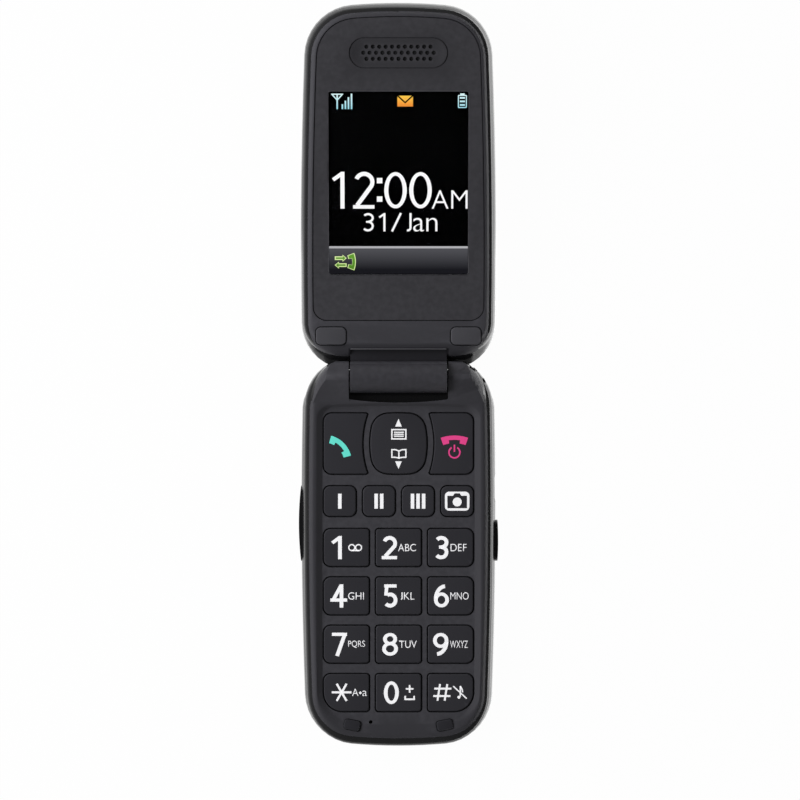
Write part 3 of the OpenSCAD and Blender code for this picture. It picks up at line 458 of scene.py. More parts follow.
class Effects:
    """Surface effects that several finishes share, each a node group built once."""

    @staticmethod
    def once(name: str, make: Callable[[str], bpy.types.NodeTree]) -> bpy.types.NodeTree:
        """Return a group by name, made on its first use."""
        return bpy.data.node_groups.get(name) or make(name)

    @classmethod
    def grain(cls) -> bpy.types.NodeTree:
        """Spark-eroded grain of a moulding: a speckled tone, an uneven gloss and a height."""
        return cls.once("moulded_grain", cls._make_grain)

    @staticmethod
    def _make_grain(name: str) -> bpy.types.NodeTree:
        """Build the grain group.

        Args:
            name: the group's name.

        Returns:
            The group.
        """
        takes = ("Colour", "Grain", "Speckle", "Gloss", "Gloss spread")
        group = Group(name, takes, ("Colour", "Roughness", "Height"))
        fine = group.noise(group.math("DIVIDE", 1.0, group.inputs["Grain"]))
        broad = group.noise(55.0, 2.0)
        blend = group.math("ADD", group.math("MULTIPLY", fine, 0.6), group.math("MULTIPLY", broad, 0.4))
        dark = group.math("SUBTRACT", 1.0, group.inputs["Speckle"])
        pale = group.math("ADD", 1.0, group.inputs["Speckle"])
        level = group.span(blend, *NOISE_SPAN, dark, pale)
        scaled = group.add("VectorMath", operation="SCALE")
        group.feed(scaled.inputs[0], group.inputs["Colour"])
        group.feed(scaled.inputs["Scale"], level)
        group.feed(group.outputs["Colour"], scaled.outputs[0])
        low = group.math("SUBTRACT", group.inputs["Gloss"], group.inputs["Gloss spread"])
        high = group.math("ADD", group.inputs["Gloss"], group.inputs["Gloss spread"])
        group.feed(group.outputs["Roughness"], group.span(blend, *NOISE_SPAN, low, high))
        group.feed(group.outputs["Height"], fine)
        return group.tree

    @classmethod
    def rub(cls) -> bpy.types.NodeTree:
        """Edges rubbed a little paler by handling."""
        return cls.once("edge_rub", cls._make_rub)

    @staticmethod
    def _make_rub(name: str) -> bpy.types.NodeTree:
        """Build the edge rub group.

        Args:
            name: the group's name.

        Returns:
            The group.
        """
        group = Group(name, ("Colour", "Rubbed colour", "Amount"), ("Colour",))
        point = group.add("NewGeometry").outputs["Pointiness"]
        edge = group.span(point, 0.52, 0.6, 0.0, 1.0)
        patchy = group.span(group.noise(700.0), *NOISE_SPAN, 0.4, 1.0)
        factor = group.math("MULTIPLY", group.math("MULTIPLY", edge, patchy), group.inputs["Amount"])
        rubbed = group.mix(factor, group.inputs["Colour"], group.inputs["Rubbed colour"])
        group.feed(group.outputs["Colour"], rubbed)
        return group.tree

    @classmethod
    def film(cls) -> bpy.types.NodeTree:
        """Faint film of handling on a glossy surface: an uneven gloss."""
        return cls.once("handling_film", cls._make_film)

    @staticmethod
    def _make_film(name: str) -> bpy.types.NodeTree:
        """Build the handling film group.

        Args:
            name: the group's name.

        Returns:
            The group.
        """
        group = Group(name, ("Gloss", "Film"), ("Roughness",))
        cloud = group.span(group.noise(140.0, 5.0), 0.42, 0.7, 0.0, 1.0)
        streak = group.span(group.noise(900.0, 2.0), 0.4, 0.8, 0.0, 0.4)
        amount = group.math("MULTIPLY", group.math("ADD", cloud, streak), group.inputs["Film"])
        group.feed(group.outputs["Roughness"], group.math("ADD", group.inputs["Gloss"], amount))
        return group.tree

    @classmethod
    def lines(cls) -> bpy.types.NodeTree:
        """Fine parallel lines, as on drawn metal, film conductors and rows of dots."""
        return cls.once("fine_lines", cls._make_lines)

    @staticmethod
    def _make_lines(name: str) -> bpy.types.NodeTree:
        """Build the line group.

        Args:
            name: the group's name.

        Returns:
            The group.
        """
        group = Group(name, ("Pitch", "Waver"), ("Across", "Along"))
        place_of = group.add("TexCoord").outputs["Object"]
        for axis, label in (("X", "Across"), ("Y", "Along")):
            scale = group.math("DIVIDE", WAVE_LENGTH, group.inputs["Pitch"])
            wave = group.add("TexWave", {"Vector": place_of, "Scale": scale}, bands_direction=axis)
            group.feed(wave.inputs["Distortion"], group.inputs["Waver"])
            group.feed(group.outputs[label], wave.outputs["Fac"])
        return group.tree


# Finishes


@dataclass(frozen=True)
class Finish:
    """A finish: its name, the record's slot and the material that shows it."""

    name: str
    slot: Slot

    def material(self) -> bpy.types.Material:
        """Return the finish's material, made on its first use."""
        return bpy.data.materials.get(self.name) or self.make(Sheet(self.name))

    def make(self, sheet: Sheet) -> bpy.types.Material:
        """Lay the finish out on an empty material."""
        raise NotImplementedError


@dataclass(frozen=True)
class MouldedPlastic(Finish):
    """Matt moulded plastic or rubber with an eroded grain."""

    tone: Colour
    gloss: float = 0.5
    grain: float = 0.12 * MM
    depth: float = 0.006 * MM
    speckle: float = 0.08
    rub: float = 0.3
    shine: float = 0.5

    def make(self, sheet: Sheet) -> bpy.types.Material:
        """Lay out a speckled tone, rubbed edges, an uneven gloss and a fine bump.

        Args:
            sheet: an empty material.

        Returns:
            The material.
        """
        values = {"Colour": self.tone, "Grain": self.grain, "Speckle": self.speckle, "Gloss": self.gloss}
        grain = sheet.use(Effects.grain(), **values, Gloss_spread=0.06)
        paler = tuple(min(1.0, part * 2.2 + 0.01) for part in self.tone)
        tone = grain.outputs["Colour"]
        rubbed = sheet.use(Effects.rub(), Colour=tone, Rubbed_colour=paler, Amount=self.rub)
        sheet.set(Base_Color=rubbed.outputs["Colour"], Roughness=grain.outputs["Roughness"])
        sheet.set(Specular_IOR_Level=self.shine)
        sheet.bump(grain.outputs["Height"], self.depth)
        return sheet.material


@dataclass(frozen=True)
class CoatedShell(Finish):
    """Dark shell plastic under a hard clear coat."""

    tone: Colour
    flake: float = 0.35

    def make(self, sheet: Sheet) -> bpy.types.Material:
        """Lay out a fine pearl tone under a coat with a faint handling film.

        Args:
            sheet: an empty material.

        Returns:
            The material.
        """
        grain = sheet.use(Effects.grain(), Colour=self.tone, Grain=0.05 * MM, Speckle=self.flake)
        film = sheet.use(Effects.film(), Gloss=0.25, Film=0.06)
        sheet.set(Base_Color=grain.outputs["Colour"], Roughness=film.outputs["Roughness"], IOR=1.5)
        sheet.set(Specular_IOR_Level=0.1, Coat_Weight=1.0, Coat_Roughness=0.14, Coat_IOR=1.5)
        return sheet.material


@dataclass(frozen=True)
class ClearSheet(Finish):
    """Clear moulded window with a coat against reflections."""

    tone: Colour = (0.98, 0.99, 1.0)

    def make(self, sheet: Sheet) -> bpy.types.Material:
        """Lay out a clear body with a faint handling film on it.

        Args:
            sheet: an empty material.

        Returns:
            The material.
        """
        film = sheet.use(Effects.film(), Gloss=0.015, Film=0.03)
        tint = sheet.mix(sheet.noise(200.0), self.tone, (1.0, 1.0, 1.0))
        sheet.set(Base_Color=tint, Roughness=film.outputs["Roughness"], IOR=1.03, Transmission_Weight=1.0)
        return sheet.material


@dataclass(frozen=True)
class PanelBlack(Finish):
    """Unlit face of the display."""

    tone: Colour = (0.0012, 0.0012, 0.0016)

    def make(self, sheet: Sheet) -> bpy.types.Material:
        """Lay out a near black with its rows and columns of dots.

        Args:
            sheet: an empty material.

        Returns:
            The material.
        """
        lines = sheet.use(Effects.lines(), Pitch=DOT_PITCH, Waver=0.0)
        dots = sheet.math("MULTIPLY", lines.outputs["Across"], lines.outputs["Along"])
        brighter = tuple(part * 1.6 for part in self.tone)
        sheet.set(Base_Color=sheet.mix(dots, self.tone, brighter))
        sheet.set(Roughness=sheet.span(dots, 0.0, 1.0, 0.35, 0.45), Specular_IOR_Level=0.02)
        return sheet.material


@dataclass(frozen=True)
class LitMark(Finish):
    """Lit part of the display, from a lower to an upper colour over a stretch of the row frame's Y."""

    low: Colour
    high: Colour
    start: float = 0.0
    end: float = 1.0
    strength: float = 1.0

    def make(self, sheet: Sheet) -> bpy.types.Material:
        """Lay out a glow with a trace of the display's dots.

        Args:
            sheet: an empty material.

        Returns:
            The material.
        """
        place_of = sheet.add("TexCoord").outputs["Object"]
        along = sheet.add("SeparateXYZ", {"Vector": place_of}).outputs["Y"]
        colour = sheet.mix(sheet.span(along, self.start, self.end, 0.0, 1.0), self.low, self.high)
        lines = sheet.use(Effects.lines(), Pitch=DOT_PITCH, Waver=0.0)
        level = sheet.span(lines.outputs["Along"], 0.0, 1.0, 0.95, 1.0)
        glow = sheet.add("VectorMath", {"Scale": level}, operation="SCALE")
        sheet.feed(glow.inputs[0], colour)
        sheet.set(Base_Color=(0.0, 0.0, 0.0), Roughness=0.6, Specular_IOR_Level=0.0)
        sheet.set(Emission_Color=glow.outputs[0], Emission_Strength=self.strength)
        return sheet.material


@dataclass(frozen=True)
class PrintedInk(Finish):
    """Ink of a key's legend, lit a little from below."""

    tone: Colour
    lit: float = 0.35

    def make(self, sheet: Sheet) -> bpy.types.Material:
        """Lay out an ink with a slightly uneven cover.

        Args:
            sheet: an empty material.

        Returns:
            The material.
        """
        cover = sheet.span(sheet.noise(2500.0), 0.3, 0.7, 0.94, 1.0)
        ink = sheet.add("VectorMath", {"Scale": cover}, operation="SCALE")
        sheet.feed(ink.inputs[0], self.tone)
        sheet.set(Base_Color=ink.outputs[0], Roughness=sheet.span(cover, 0.94, 1.0, 0.6, 0.45))
        sheet.set(Emission_Color=ink.outputs[0], Emission_Strength=self.lit)
        return sheet.material


@dataclass(frozen=True)
class BareMetal(Finish):
    """Drawn or turned metal."""

    tone: Colour
    gloss: float = 0.28

    def make(self, sheet: Sheet) -> bpy.types.Material:
        """Lay out a brushed tone with fine drawing lines.

        Args:
            sheet: an empty material.

        Returns:
            The material.
        """
        lines = sheet.use(Effects.lines(), Pitch=0.09 * MM, Waver=3.0)
        drawn = lines.outputs["Along"]
        dull = tuple(part * 0.8 for part in self.tone)
        sheet.set(Base_Color=sheet.mix(drawn, dull, self.tone), Metallic=1.0)
        sheet.set(Roughness=sheet.span(drawn, 0.0, 1.0, self.gloss + 0.1, self.gloss - 0.05))
        sheet.bump(drawn, 0.004 * MM, 0.5)
        return sheet.material


@dataclass(frozen=True)
class BoardLaminate(Finish):
    """Solder-masked circuit board."""

    mask: Colour = (0.01, 0.09, 0.03)
    track: Colour = (0.03, 0.17, 0.07)

    def make(self, sheet: Sheet) -> bpy.types.Material:
        """Lay out the mask with raised tracks under it.

        Args:
            sheet: an empty material.

        Returns:
            The material.
        """
        tones = {"Color1": self.mask, "Color2": self.mask, "Mortar": self.track}
        bricks = {"Scale": 420.0, "Mortar Size": 0.03, **tones}
        tracks = sheet.add("TexBrick", {"Vector": sheet.add("TexCoord").outputs["Object"], **bricks})
        tint = sheet.mix(sheet.noise(300.0), tracks.outputs["Color"], self.mask)
        sheet.set(Base_Color=tint, Roughness=sheet.span(sheet.noise(900.0), 0.3, 0.7, 0.25, 0.4))
        sheet.bump(tracks.outputs["Fac"], 0.02 * MM, 0.6)
        return sheet.material


@dataclass(frozen=True)
class LinedFilm(Finish):
    """Thin film with conductors, or a woven mesh, drawn by fine crossed lines."""

    tone: Colour
    line: Colour
    pitch: float = 0.5 * MM
    woven: bool = False
    gloss: float = 0.4

    def make(self, sheet: Sheet) -> bpy.types.Material:
        """Lay out the lines in colour, gloss and height.

        Args:
            sheet: an empty material.

        Returns:
            The material.
        """
        lines = sheet.use(Effects.lines(), Pitch=self.pitch, Waver=0.0)
        mask = lines.outputs["Across"]
        if self.woven:
            mask = sheet.math("MAXIMUM", lines.outputs["Across"], lines.outputs["Along"])
        sheet.set(Base_Color=sheet.mix(mask, self.tone, self.line))
        sheet.set(Roughness=sheet.span(mask, 0.0, 1.0, self.gloss + 0.1, self.gloss))
        sheet.bump(mask, 0.03 * MM, 0.7)
        return sheet.material


class Finishes:
    """The phone's finishes, by the record's slot and by use."""

    shell = CoatedShell("dark_coated_shell", Slot.GLOSS_SHELL, (0.008, 0.008, 0.009))
    matt = MouldedPlastic("matt_casing", Slot.MATT_SHELL, (0.0475, 0.0465, 0.054))
    lid_matt = MouldedPlastic("matt_lid_casing", Slot.MATT_SHELL, (0.058, 0.057, 0.066))
    # Painted shade: the knuckle is part of the lid frame's moulding, given a darker copy of its plastic.
    knuckle = MouldedPlastic("matt_knuckle_painted_shade", Slot.MATT_SHELL, (0.041, 0.04, 0.047))
    # Painted shade: a darker copy of the matt casing plastic for the valley behind the knuckle.
    painted_valley_shade = MouldedPlastic("matt_casing_painted_valley_shade", Slot.MATT_SHELL, (0.024, 0.0235, 0.028))
    panel = MouldedPlastic(
        "satin_panel", Slot.FACE_PANEL, (0.045, 0.044, 0.05), gloss=0.42, depth=0.004 * MM)
    # Painted highlight: a paler copy of the panel plastic for thin lines along lit edges.
    painted_highlight = MouldedPlastic(
        "painted_edge_highlight", Slot.FACE_PANEL, (0.085, 0.084, 0.094), gloss=0.35, depth=0.004 * MM)
    key = MouldedPlastic("key_cap", Slot.KEY, (0.0355, 0.0348, 0.0415), gloss=0.5, depth=0.005 * MM)
    glass = ClearSheet("display_glass", Slot.CLEAR_WINDOW)
    unlit = PanelBlack("display_black", Slot.DISPLAY)
    board = BoardLaminate("board_laminate", Slot.BOARD)
    dark = MouldedPlastic("inner_plastic", Slot.DARK_PLASTIC, (0.016, 0.016, 0.018), gloss=0.4)
    mesh = LinedFilm(
        "dust_mesh", Slot.MESH, (0.006, 0.006, 0.007), (0.03, 0.03, 0.033), 0.14 * MM, woven=True)
    steel = BareMetal("bright_steel", Slot.STEEL, (0.6, 0.6, 0.62))
    bronze = BareMetal("dark_bronze", Slot.BRASS, (0.02, 0.016, 0.011), 0.5)
    black_steel = BareMetal("blackened_steel", Slot.STEEL, (0.012, 0.012, 0.013), 0.5)
    brass = BareMetal("turned_brass", Slot.BRASS, (0.75, 0.55, 0.25))
    rubber = MouldedPlastic(
        "soft_rubber", Slot.RUBBER, (0.079, 0.078, 0.088), gloss=0.62, grain=0.08 * MM, shine=0.35)
    bumper = MouldedPlastic(
        "firm_rubber", Slot.RUBBER, (0.028, 0.0275, 0.033), gloss=0.5, grain=0.08 * MM, shine=0.35)
    # Painted shadow: a near black for thin raised lines that stand in for the shade in the grooves round the pads
    # and bumpers.
    joint = MouldedPlastic("painted_groove_shadow", Slot.RUBBER, (0.006, 0.006, 0.007), gloss=0.7, shine=0.1)
    silicone = MouldedPlastic("key_mat_silicone", Slot.SILICONE, (0.6, 0.6, 0.62), gloss=0.5, speckle=0.03)
    dark_flex = LinedFilm("covered_flex", Slot.FLEX, (0.01, 0.009, 0.008), (0.018, 0.016, 0.014))
    flex = LinedFilm("amber_flex", Slot.FLEX, (0.42, 0.16, 0.03), (0.62, 0.33, 0.1))
    wrap = LinedFilm(
        "cell_wrap", Slot.BATTERY, (0.16, 0.165, 0.18), (0.2, 0.205, 0.22), 1.2 * MM, gloss=0.3)
    ink_white = PrintedInk("white_ink", Slot.KEY, (0.93, 0.93, 0.95))
    ink_green = PrintedInk("turquoise_ink", Slot.KEY, (0.13, 0.72, 0.6))
    ink_pink = PrintedInk("pink_ink", Slot.KEY, (0.75, 0.06, 0.25))

    @classmethod
    def for_slot(cls, slot: str) -> Finish:
        """Return the plain finish of a record slot.

        Args:
            slot: the slot's name in the record.

        Returns:
            The finish.
        """
        plain = (
            cls.shell, cls.matt, cls.panel, cls.key, cls.glass, cls.unlit, cls.board, cls.dark,
            cls.mesh, cls.steel, cls.brass, cls.rubber, cls.silicone, cls.flex, cls.wrap,
        )
        return {finish.slot.value: finish for finish in plain}[slot]


def seat(piece: Piece, body: str, finish: Finish, *nodes: str) -> None:
    """Give a piece its finish, its body and the CAD nodes that it stands for.

    Args:
        piece: the finished mesh, in the row frame.
        body: the CAD body that it rides on.
        finish: its finish.
        nodes: CAD nodes that it replaces.
    """
    piece.data.materials.clear()
    piece.data.materials.append(finish.material())
    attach(piece, body)
    if nodes:
        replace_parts(piece, *nodes)
    LOG.info("%s: %d faces, rides on %s", piece.name, len(piece.data.polygons), body)


# Flat signs, in millimetres about their own middle


def bar(x: float, y: float, width: float, height: float, turn: float = 0.0) -> Loop:
    """Return a rectangle about a point, turned by degrees.

    Args:
        x: its middle across.
        y: its middle up.
        width: its width.
        height: its height.
        turn: its turn, in degrees.

    Returns:
        A closed loop.
    """
    cos, sin = math.cos(math.radians(turn)), math.sin(math.radians(turn))
    points = [(sx * width / 2, sy * height / 2) for sx, sy in ((-1, -1), (1, -1), (1, 1), (-1, 1))]
    return [(x + a * cos - b * sin, y + a * sin + b * cos) for a, b in points]


def arc(
    x: float, y: float, radius: float, start: float, end: float, steps: int, squash: float = 1.0,
) -> Loop:
    """Return points along an arc.

    Args:
        x: its middle across.
        y: its middle up.
        radius: its radius.
        start: first angle, in degrees.
        end: last angle.
        steps: how many steps it takes.
        squash: what its height is scaled by.

    Returns:
        The points.
    """
    angles = [math.radians(start + (end - start) * i / steps) for i in range(steps + 1)]
    return [(x + radius * math.cos(a), y + radius * squash * math.sin(a)) for a in angles]


def disc(x: float, y: float, radius: float, squash: float = 1.0) -> Loop:
    """Return a circle, or an upright oval."""
    return arc(x, y, radius, 0.0, 352.0, 44, squash)


def rounded(x: float, y: float, width: float, height: float, radius: float) -> Loop:
    """Return a rectangle with round corners.

    Args:
        x: its middle across.
        y: its middle up.
        width: its width.
        height: its height.
        radius: radius of its corners.

    Returns:
        A closed loop.
    """
    loop: Loop = []
    for i, (sx, sy) in enumerate(((1, 1), (-1, 1), (-1, -1), (1, -1))):
        across, up = x + sx * (width / 2 - radius), y + sy * (height / 2 - radius)
        loop += arc(across, up, radius, 90 * i, 90 * i + 90, 5)
    return loop


def ribbon(points: Loop, width: float) -> Loop:
    """Return the outline of a stroke of even width with mitred corners.

    Args:
        points: the stroke's middle line.
        width: the stroke's width.

    Returns:
        A closed loop.
    """
    left: Loop = []
    right: Loop = []
    for i, (x, y) in enumerate(points):
        before, after = points[max(i - 1, 0)], points[min(i + 1, len(points) - 1)]
        first = Vector((x - before[0], y - before[1])) if i else Vector((after[0] - x, after[1] - y))
        last = Vector((after[0] - x, after[1] - y)) if i < len(points) - 1 else first
        first.normalize()
        last.normalize()
        side = Vector((-first.y - last.y, first.x + last.x)).normalized()
        reach = width / 2 / max(0.4, side.dot(Vector((-first.y, first.x))))
        left.append((x + side.x * reach, y + side.y * reach))
        right.append((x - side.x * reach, y - side.y * reach))
    return left + right[::-1]


def handset(span: float, sag: float, grip: float, lobe: float, lobe_share: float) -> Shape:
    """Return a telephone receiver, its back upwards.

    Args:
        span: chord of its back.
        sag: height of the back's arc.
        grip: thickness of the grip.
        lobe: thickness of the two ends.
        lobe_share: share of the half arc that each end takes.

    Returns:
        A shape of one loop.
    """
    radius = (span * span / 4 + sag * sag) / (2 * sag)
    half = math.degrees(math.asin(span / 2 / radius))
    inner = half * (1 - lobe_share)
    drop = sag / 2 - radius
    outer = arc(0, drop, radius, 90 + half, 90 - half, 20)
    right = arc(0, drop, radius - lobe, 90 - half, 90 - inner, 5)
    middle = arc(0, drop, radius - grip, 90 - inner, 90 + inner, 12)
    left = arc(0, drop, radius - lobe, 90 + inner, 90 + half, 5)
    return [outer + right + middle + left]


def figure(digit: str, width: float, height: float, line: float) -> list[Shape]:
    """Return a plain figure drawn with strokes of even width.

    Args:
        digit: a figure from 0 to 9, a slash or a capital J.
        width: width of the figure.
        height: height of the figure.
        line: width of its strokes.

    Returns:
        The shapes of its strokes.
    """
    a, b = (width - line) / 2, (height - line) / 2
    thin = line * 0.86

    def ring(y: float, across: float, up: float) -> Shape:
        """Return an oval ring about a level, by its middle line's half width and half height."""
        outer, inner = across + line / 2, across - line / 2
        return [disc(0, y, outer, (up + thin / 2) / outer), disc(0, y, inner, (up - thin / 2) / inner)]

    def bow(y: float, across: float, up: float, start: float, end: float) -> Loop:
        """Return points along an oval bow about a level."""
        return arc(a - across, y, across, start, end, 24, up / across)

    if digit == "0":
        return [ring(0, a, b)]
    if digit == "1":
        side, head = width / 2, height / 2
        neck, tip = head - line * 1.3, head - 0.53 * width
        stem = [(side - line, -head), (side, -head), (side, head), (side - line * 0.8, head)]
        flag = [(-side, tip), (line * 0.55 - side, tip - line * 0.68), (side - line, neck)]
        return [[stem + flag]]
    if digit == "2":
        top = bow(b - a * 0.95, a * 0.95, a * 0.95, 158, -32)
        sweep = [*top, (line * 0.45 - a, thin * 0.3 - b)]
        return [[ribbon(sweep, line)], [bar(0, -b - (line - thin) / 2, width, thin)]]
    if digit == "3":
        upper = bow(b - b * 0.47, a * 0.96, b * 0.47, 142, -88)
        lower = bow(b * 0.53 - b, a, b * 0.53, 88, -142)
        return [[ribbon(upper, line)], [ribbon(lower, line)], [bar(a * 0.02, b * 0.05, a * 0.8, thin)]]
    if digit == "4":
        stem, shelf = a * 0.42, -b * 0.42
        head, foot = (stem - line * 0.1, height / 2 - line * 0.3), (line * 0.25 - a, shelf)
        slope = ribbon([head, foot], line * 0.95)
        return [[slope], [bar(0, shelf, width, thin)], [bar(stem, 0, line, height)]]
    if digit == "5":
        bowl = bow(b * 0.58 - b, a, b * 0.58, 118, -138)
        back = [(line * 0.2 - a * 0.74, b), (-a * 0.78, b * 0.04)]
        flag = bar(line * 0.1, b + (line - thin) / 2, width * 0.84, thin)
        return [[ribbon(bowl, line)], [ribbon(back, line * 0.92)], [flag]]
    if digit == "6":
        sweep = arc(a * 0.75, -b * 0.28, a * 1.75, 178, 94, 16, b * 1.28 / (a * 1.75))
        return [ring(b * 0.6 - b, a, b * 0.6), [ribbon(sweep, line)]]
    if digit == "7":
        slope = ribbon([(a * 0.94, b), (-a * 0.42, -height / 2)], line)
        return [[bar(0, b + (line - thin) / 2, width, thin)], [slope]]
    if digit == "8":
        return [ring(b - b * 0.46, a * 0.86, b * 0.46), ring(b * 0.54 - b, a, b * 0.54)]
    if digit == "9":
        return [turned(shape, 180) for shape in figure("6", width, height, line)]
    if digit == "J":
        hook = [(a, height / 2), *bow(a - b, a, a, 0, -105)]
        return [[ribbon(hook, line)]]
    return [[ribbon([(-a, -height / 2), (a, height / 2)], line)]]


def turned(shape: Shape, degrees: float) -> Shape:
    """Return a shape turned about its middle."""
    cos, sin = math.cos(math.radians(degrees)), math.sin(math.radians(degrees))
    return [[(x * cos - y * sin, x * sin + y * cos) for x, y in loop] for loop in shape]


def moved(shape: Shape, x: float, y: float) -> Shape:
    """Return a shape moved by x and y."""
    return [[(a + x, b + y) for a, b in loop] for loop in shape]


def power_sign(radius: float, width: float) -> list[Shape]:
    """Return a power sign: an open ring with an upright stroke."""
    return [[ribbon(arc(0, 0, radius, 120, 420, 40), width)], [bar(0, radius * 0.75, width, radius * 1.3)]]


def list_sign(width: float, height: float, line: float) -> list[Shape]:
    """Return a framed list of lines.

    Args:
        width: its width.
        height: its height.
        line: width of its strokes.

    Returns:
        Its shapes.
    """
    frame_loops = [bar(0, 0, width, height), bar(0, 0, width - 2 * line, height - 2 * line)]
    pitch = (height - 2 * line) / 4
    rows = [[bar(0, (i - 1) * pitch, width - 4 * line, line * 0.85)] for i in range(3)]
    return [frame_loops, *rows]


def book_sign(width: float, height: float, line: float) -> list[Shape]:
    """Return an open book: two pages with curved heads and feet.

    Args:
        width: its width.
        height: its height.
        line: width of its strokes.

    Returns:
        Its shapes.
    """
    half = width / 2 - line / 2
    bow = height * 0.14
    shapes: list[Shape] = []
    for side in (-1, 1):
        head = [(0, height / 2 - bow - line / 2), (side * half * 0.5, height / 2 - line / 2)]
        head.append((side * half, height / 2 - line / 2))
        foot = [(side * half, bow - height / 2), (side * half * 0.5, bow - height / 2)]
        foot.append((0, line / 2 - height / 2))
        shapes.append([ribbon(head + foot, line)])
    return [*shapes, [bar(0, -bow / 2, line, height - bow)]]


def camera_sign(width: float, height: float, line: float) -> list[Shape]:
    """Return a camera cut out of a rounded frame, with a solid lens.

    Args:
        width: its width.
        height: its height.
        line: width of its strokes.

    Returns:
        Its shapes.
    """
    half, top, foot = width / 2 - line, height / 2 - line * 1.7, line - height / 2
    bump = [(half * 0.42, top), (half * 0.26, top + line), (-half * 0.26, top + line), (-half * 0.42, top)]
    body = [(-half, top), (-half, foot), (half, foot), (half, top), *bump]
    return [[rounded(0, 0, width, height, width * 0.17), body, disc(0, -height * 0.04, height * 0.235)]]


def tape_sign(width: float, height: float, line: float) -> list[Shape]:
    """Return two reels on a line, the sign for recorded messages.

    Args:
        width: its width.
        height: its height.
        line: width of its strokes.

    Returns:
        Its shapes.
    """
    radius = height / 2
    reach = width / 2 - radius
    rings = [[disc(side * reach, 0, radius), disc(side * reach, 0, radius - line)] for side in (-1, 1)]
    return [*rings, [bar(0, line / 2 - radius, 2 * reach, line)]]


def star_sign(size: float, line: float) -> list[Shape]:
    """Return a six-armed star."""
    return [[bar(0, 0, size, line, turn)] for turn in (0, 60, 120)]


def hash_sign(width: float, height: float, line: float) -> list[Shape]:
    """Return a hash sign that leans a little.

    Args:
        width: its width.
        height: its height.
        line: width of its strokes.

    Returns:
        Its shapes.
    """
    rows = [[bar(side * 0.14, side * height * 0.22, width, line)] for side in (-1, 1)]
    posts = [[bar(side * width * 0.21, 0, line, height, -9)] for side in (-1, 1)]
    return rows + posts


def crossed_note(width: float, height: float, line: float) -> list[Shape]:
    """Return a music note with a stroke across it, the sign for silence.

    Args:
        width: its width.
        height: its height.
        line: width of its strokes.

    Returns:
        Its shapes.
    """
    stem = [bar(0.1, height * 0.08, line, height * 0.84)]
    flag = [ribbon([(0.1, height / 2), (width * 0.16, height * 0.24), (width * 0.2, 0)], line)]
    head = [disc(-width * 0.08, line - height / 2, line * 1.15)]
    stroke = [bar(0, 0, math.hypot(width, height), line, -math.degrees(math.atan2(height, width)))]
    return [stem, flag, head, stroke]


def space_sign(width: float, height: float, line: float) -> list[Shape]:
    """Return the open box for a blank."""
    half, low = width / 2 - line / 2, line / 2 - height / 2
    return [[ribbon([(-half, height / 2), (-half, low), (half, low), (half, height / 2)], line)]]


def aerial_sign(width: float, height: float, line: float) -> list[Shape]:
    """Return an aerial: a mast under a triangle.

    Args:
        width: its width.
        height: its height.
        line: width of its strokes.

    Returns:
        Its shapes.
    """
    head = [(-width / 2, height / 2 - line / 2), (width / 2, height / 2 - line / 2)]
    top = height / 2 - line
    fork = [(line - width / 2, top), (0, height * 0.08), (width / 2 - line, top)]
    return [[ribbon(head, line)], [ribbon(fork, line)], [bar(0, 0, line * 1.25, height)]]


def envelope_sign(width: float, height: float, line: float) -> list[Shape]:
    """Return an envelope: its flap and its body, parted by a line.

    Args:
        width: its width.
        height: its height.
        line: width of its strokes.

    Returns:
        Its shapes.
    """
    half, top, dip = width / 2, height / 2, -height * 0.14
    flap = [(line - half, top), (half - line, top), (0, dip + line * 0.7)]
    shoulder = top - line * 0.6
    body = [(-half, -top), (half, -top), (half, shoulder), (0, dip - line * 0.7), (-half, shoulder)]
    return [[flap], [body]]


def cell_sign(width: float, height: float, line: float) -> list[Shape]:
    """Return the frame of a full cell with its cap.

    Args:
        width: its width.
        height: its height.
        line: width of its strokes.

    Returns:
        Its shapes.
    """
    cap = height * 0.1
    wall = rounded(0, -cap / 2, width, height - cap, 0.3)
    room = rounded(0, -cap / 2, width - 2 * line, height - cap - 2 * line, 0.15)
    return [[wall, room], [bar(0, height / 2 - cap / 2, width * 0.5, cap * 1.1)]]


def arrow_loop(width: float, height: float, grow: float, side: int) -> Loop:
    """Return a block arrow that points left or right, drawn in or out by an amount.

    Args:
        width: its width.
        height: its height.
        grow: how far its outline moves out.
        side: 1 to point right, -1 to point left.

    Returns:
        A closed loop.
    """
    tip, neck = width / 2 + grow * 1.2, width / 2 - height * 0.55 - grow * 0.4
    half, shaft = height / 2 + grow, height * 0.2 + grow
    end = -width / 2 - grow
    head = [(neck, -half), (tip, 0), (neck, half)]
    loop = [(end, -shaft), (neck, -shaft), *head, (neck, shaft), (end, shaft)]
    return [(side * x, y) for x, y in loop]


# Marks: words and signs as flat meshes


@dataclass(frozen=True)
class Word:
    """A word in the built-in letter, fitted to a size in millimetres about a point."""

    text: str
    at: Point
    size: Point
    weight: float = 0.0

    def mesh(self) -> Piece:
        """Return the word as a flat mesh in metres.

        Returns:
            The mesh object.
        """
        bpy.ops.object.select_all(action="DESELECT")
        bpy.ops.object.text_add()
        piece = bpy.context.object
        piece.data.body = self.text
        piece.data.offset = self.weight
        piece.data.resolution_u = 8
        bpy.ops.object.convert(target="MESH")
        piece = bpy.context.object
        low, high = corners(vertex.co for vertex in piece.data.vertices)
        middle, extent = (low + high) / 2, high - low
        scale = Matrix.Diagonal((self.size[0] * MM / extent.x, self.size[1] * MM / extent.y, 1.0, 1.0))
        target = Matrix.Translation((self.at[0] * MM, self.at[1] * MM, 0))
        place(piece, target @ scale @ Matrix.Translation(-middle))
        return piece


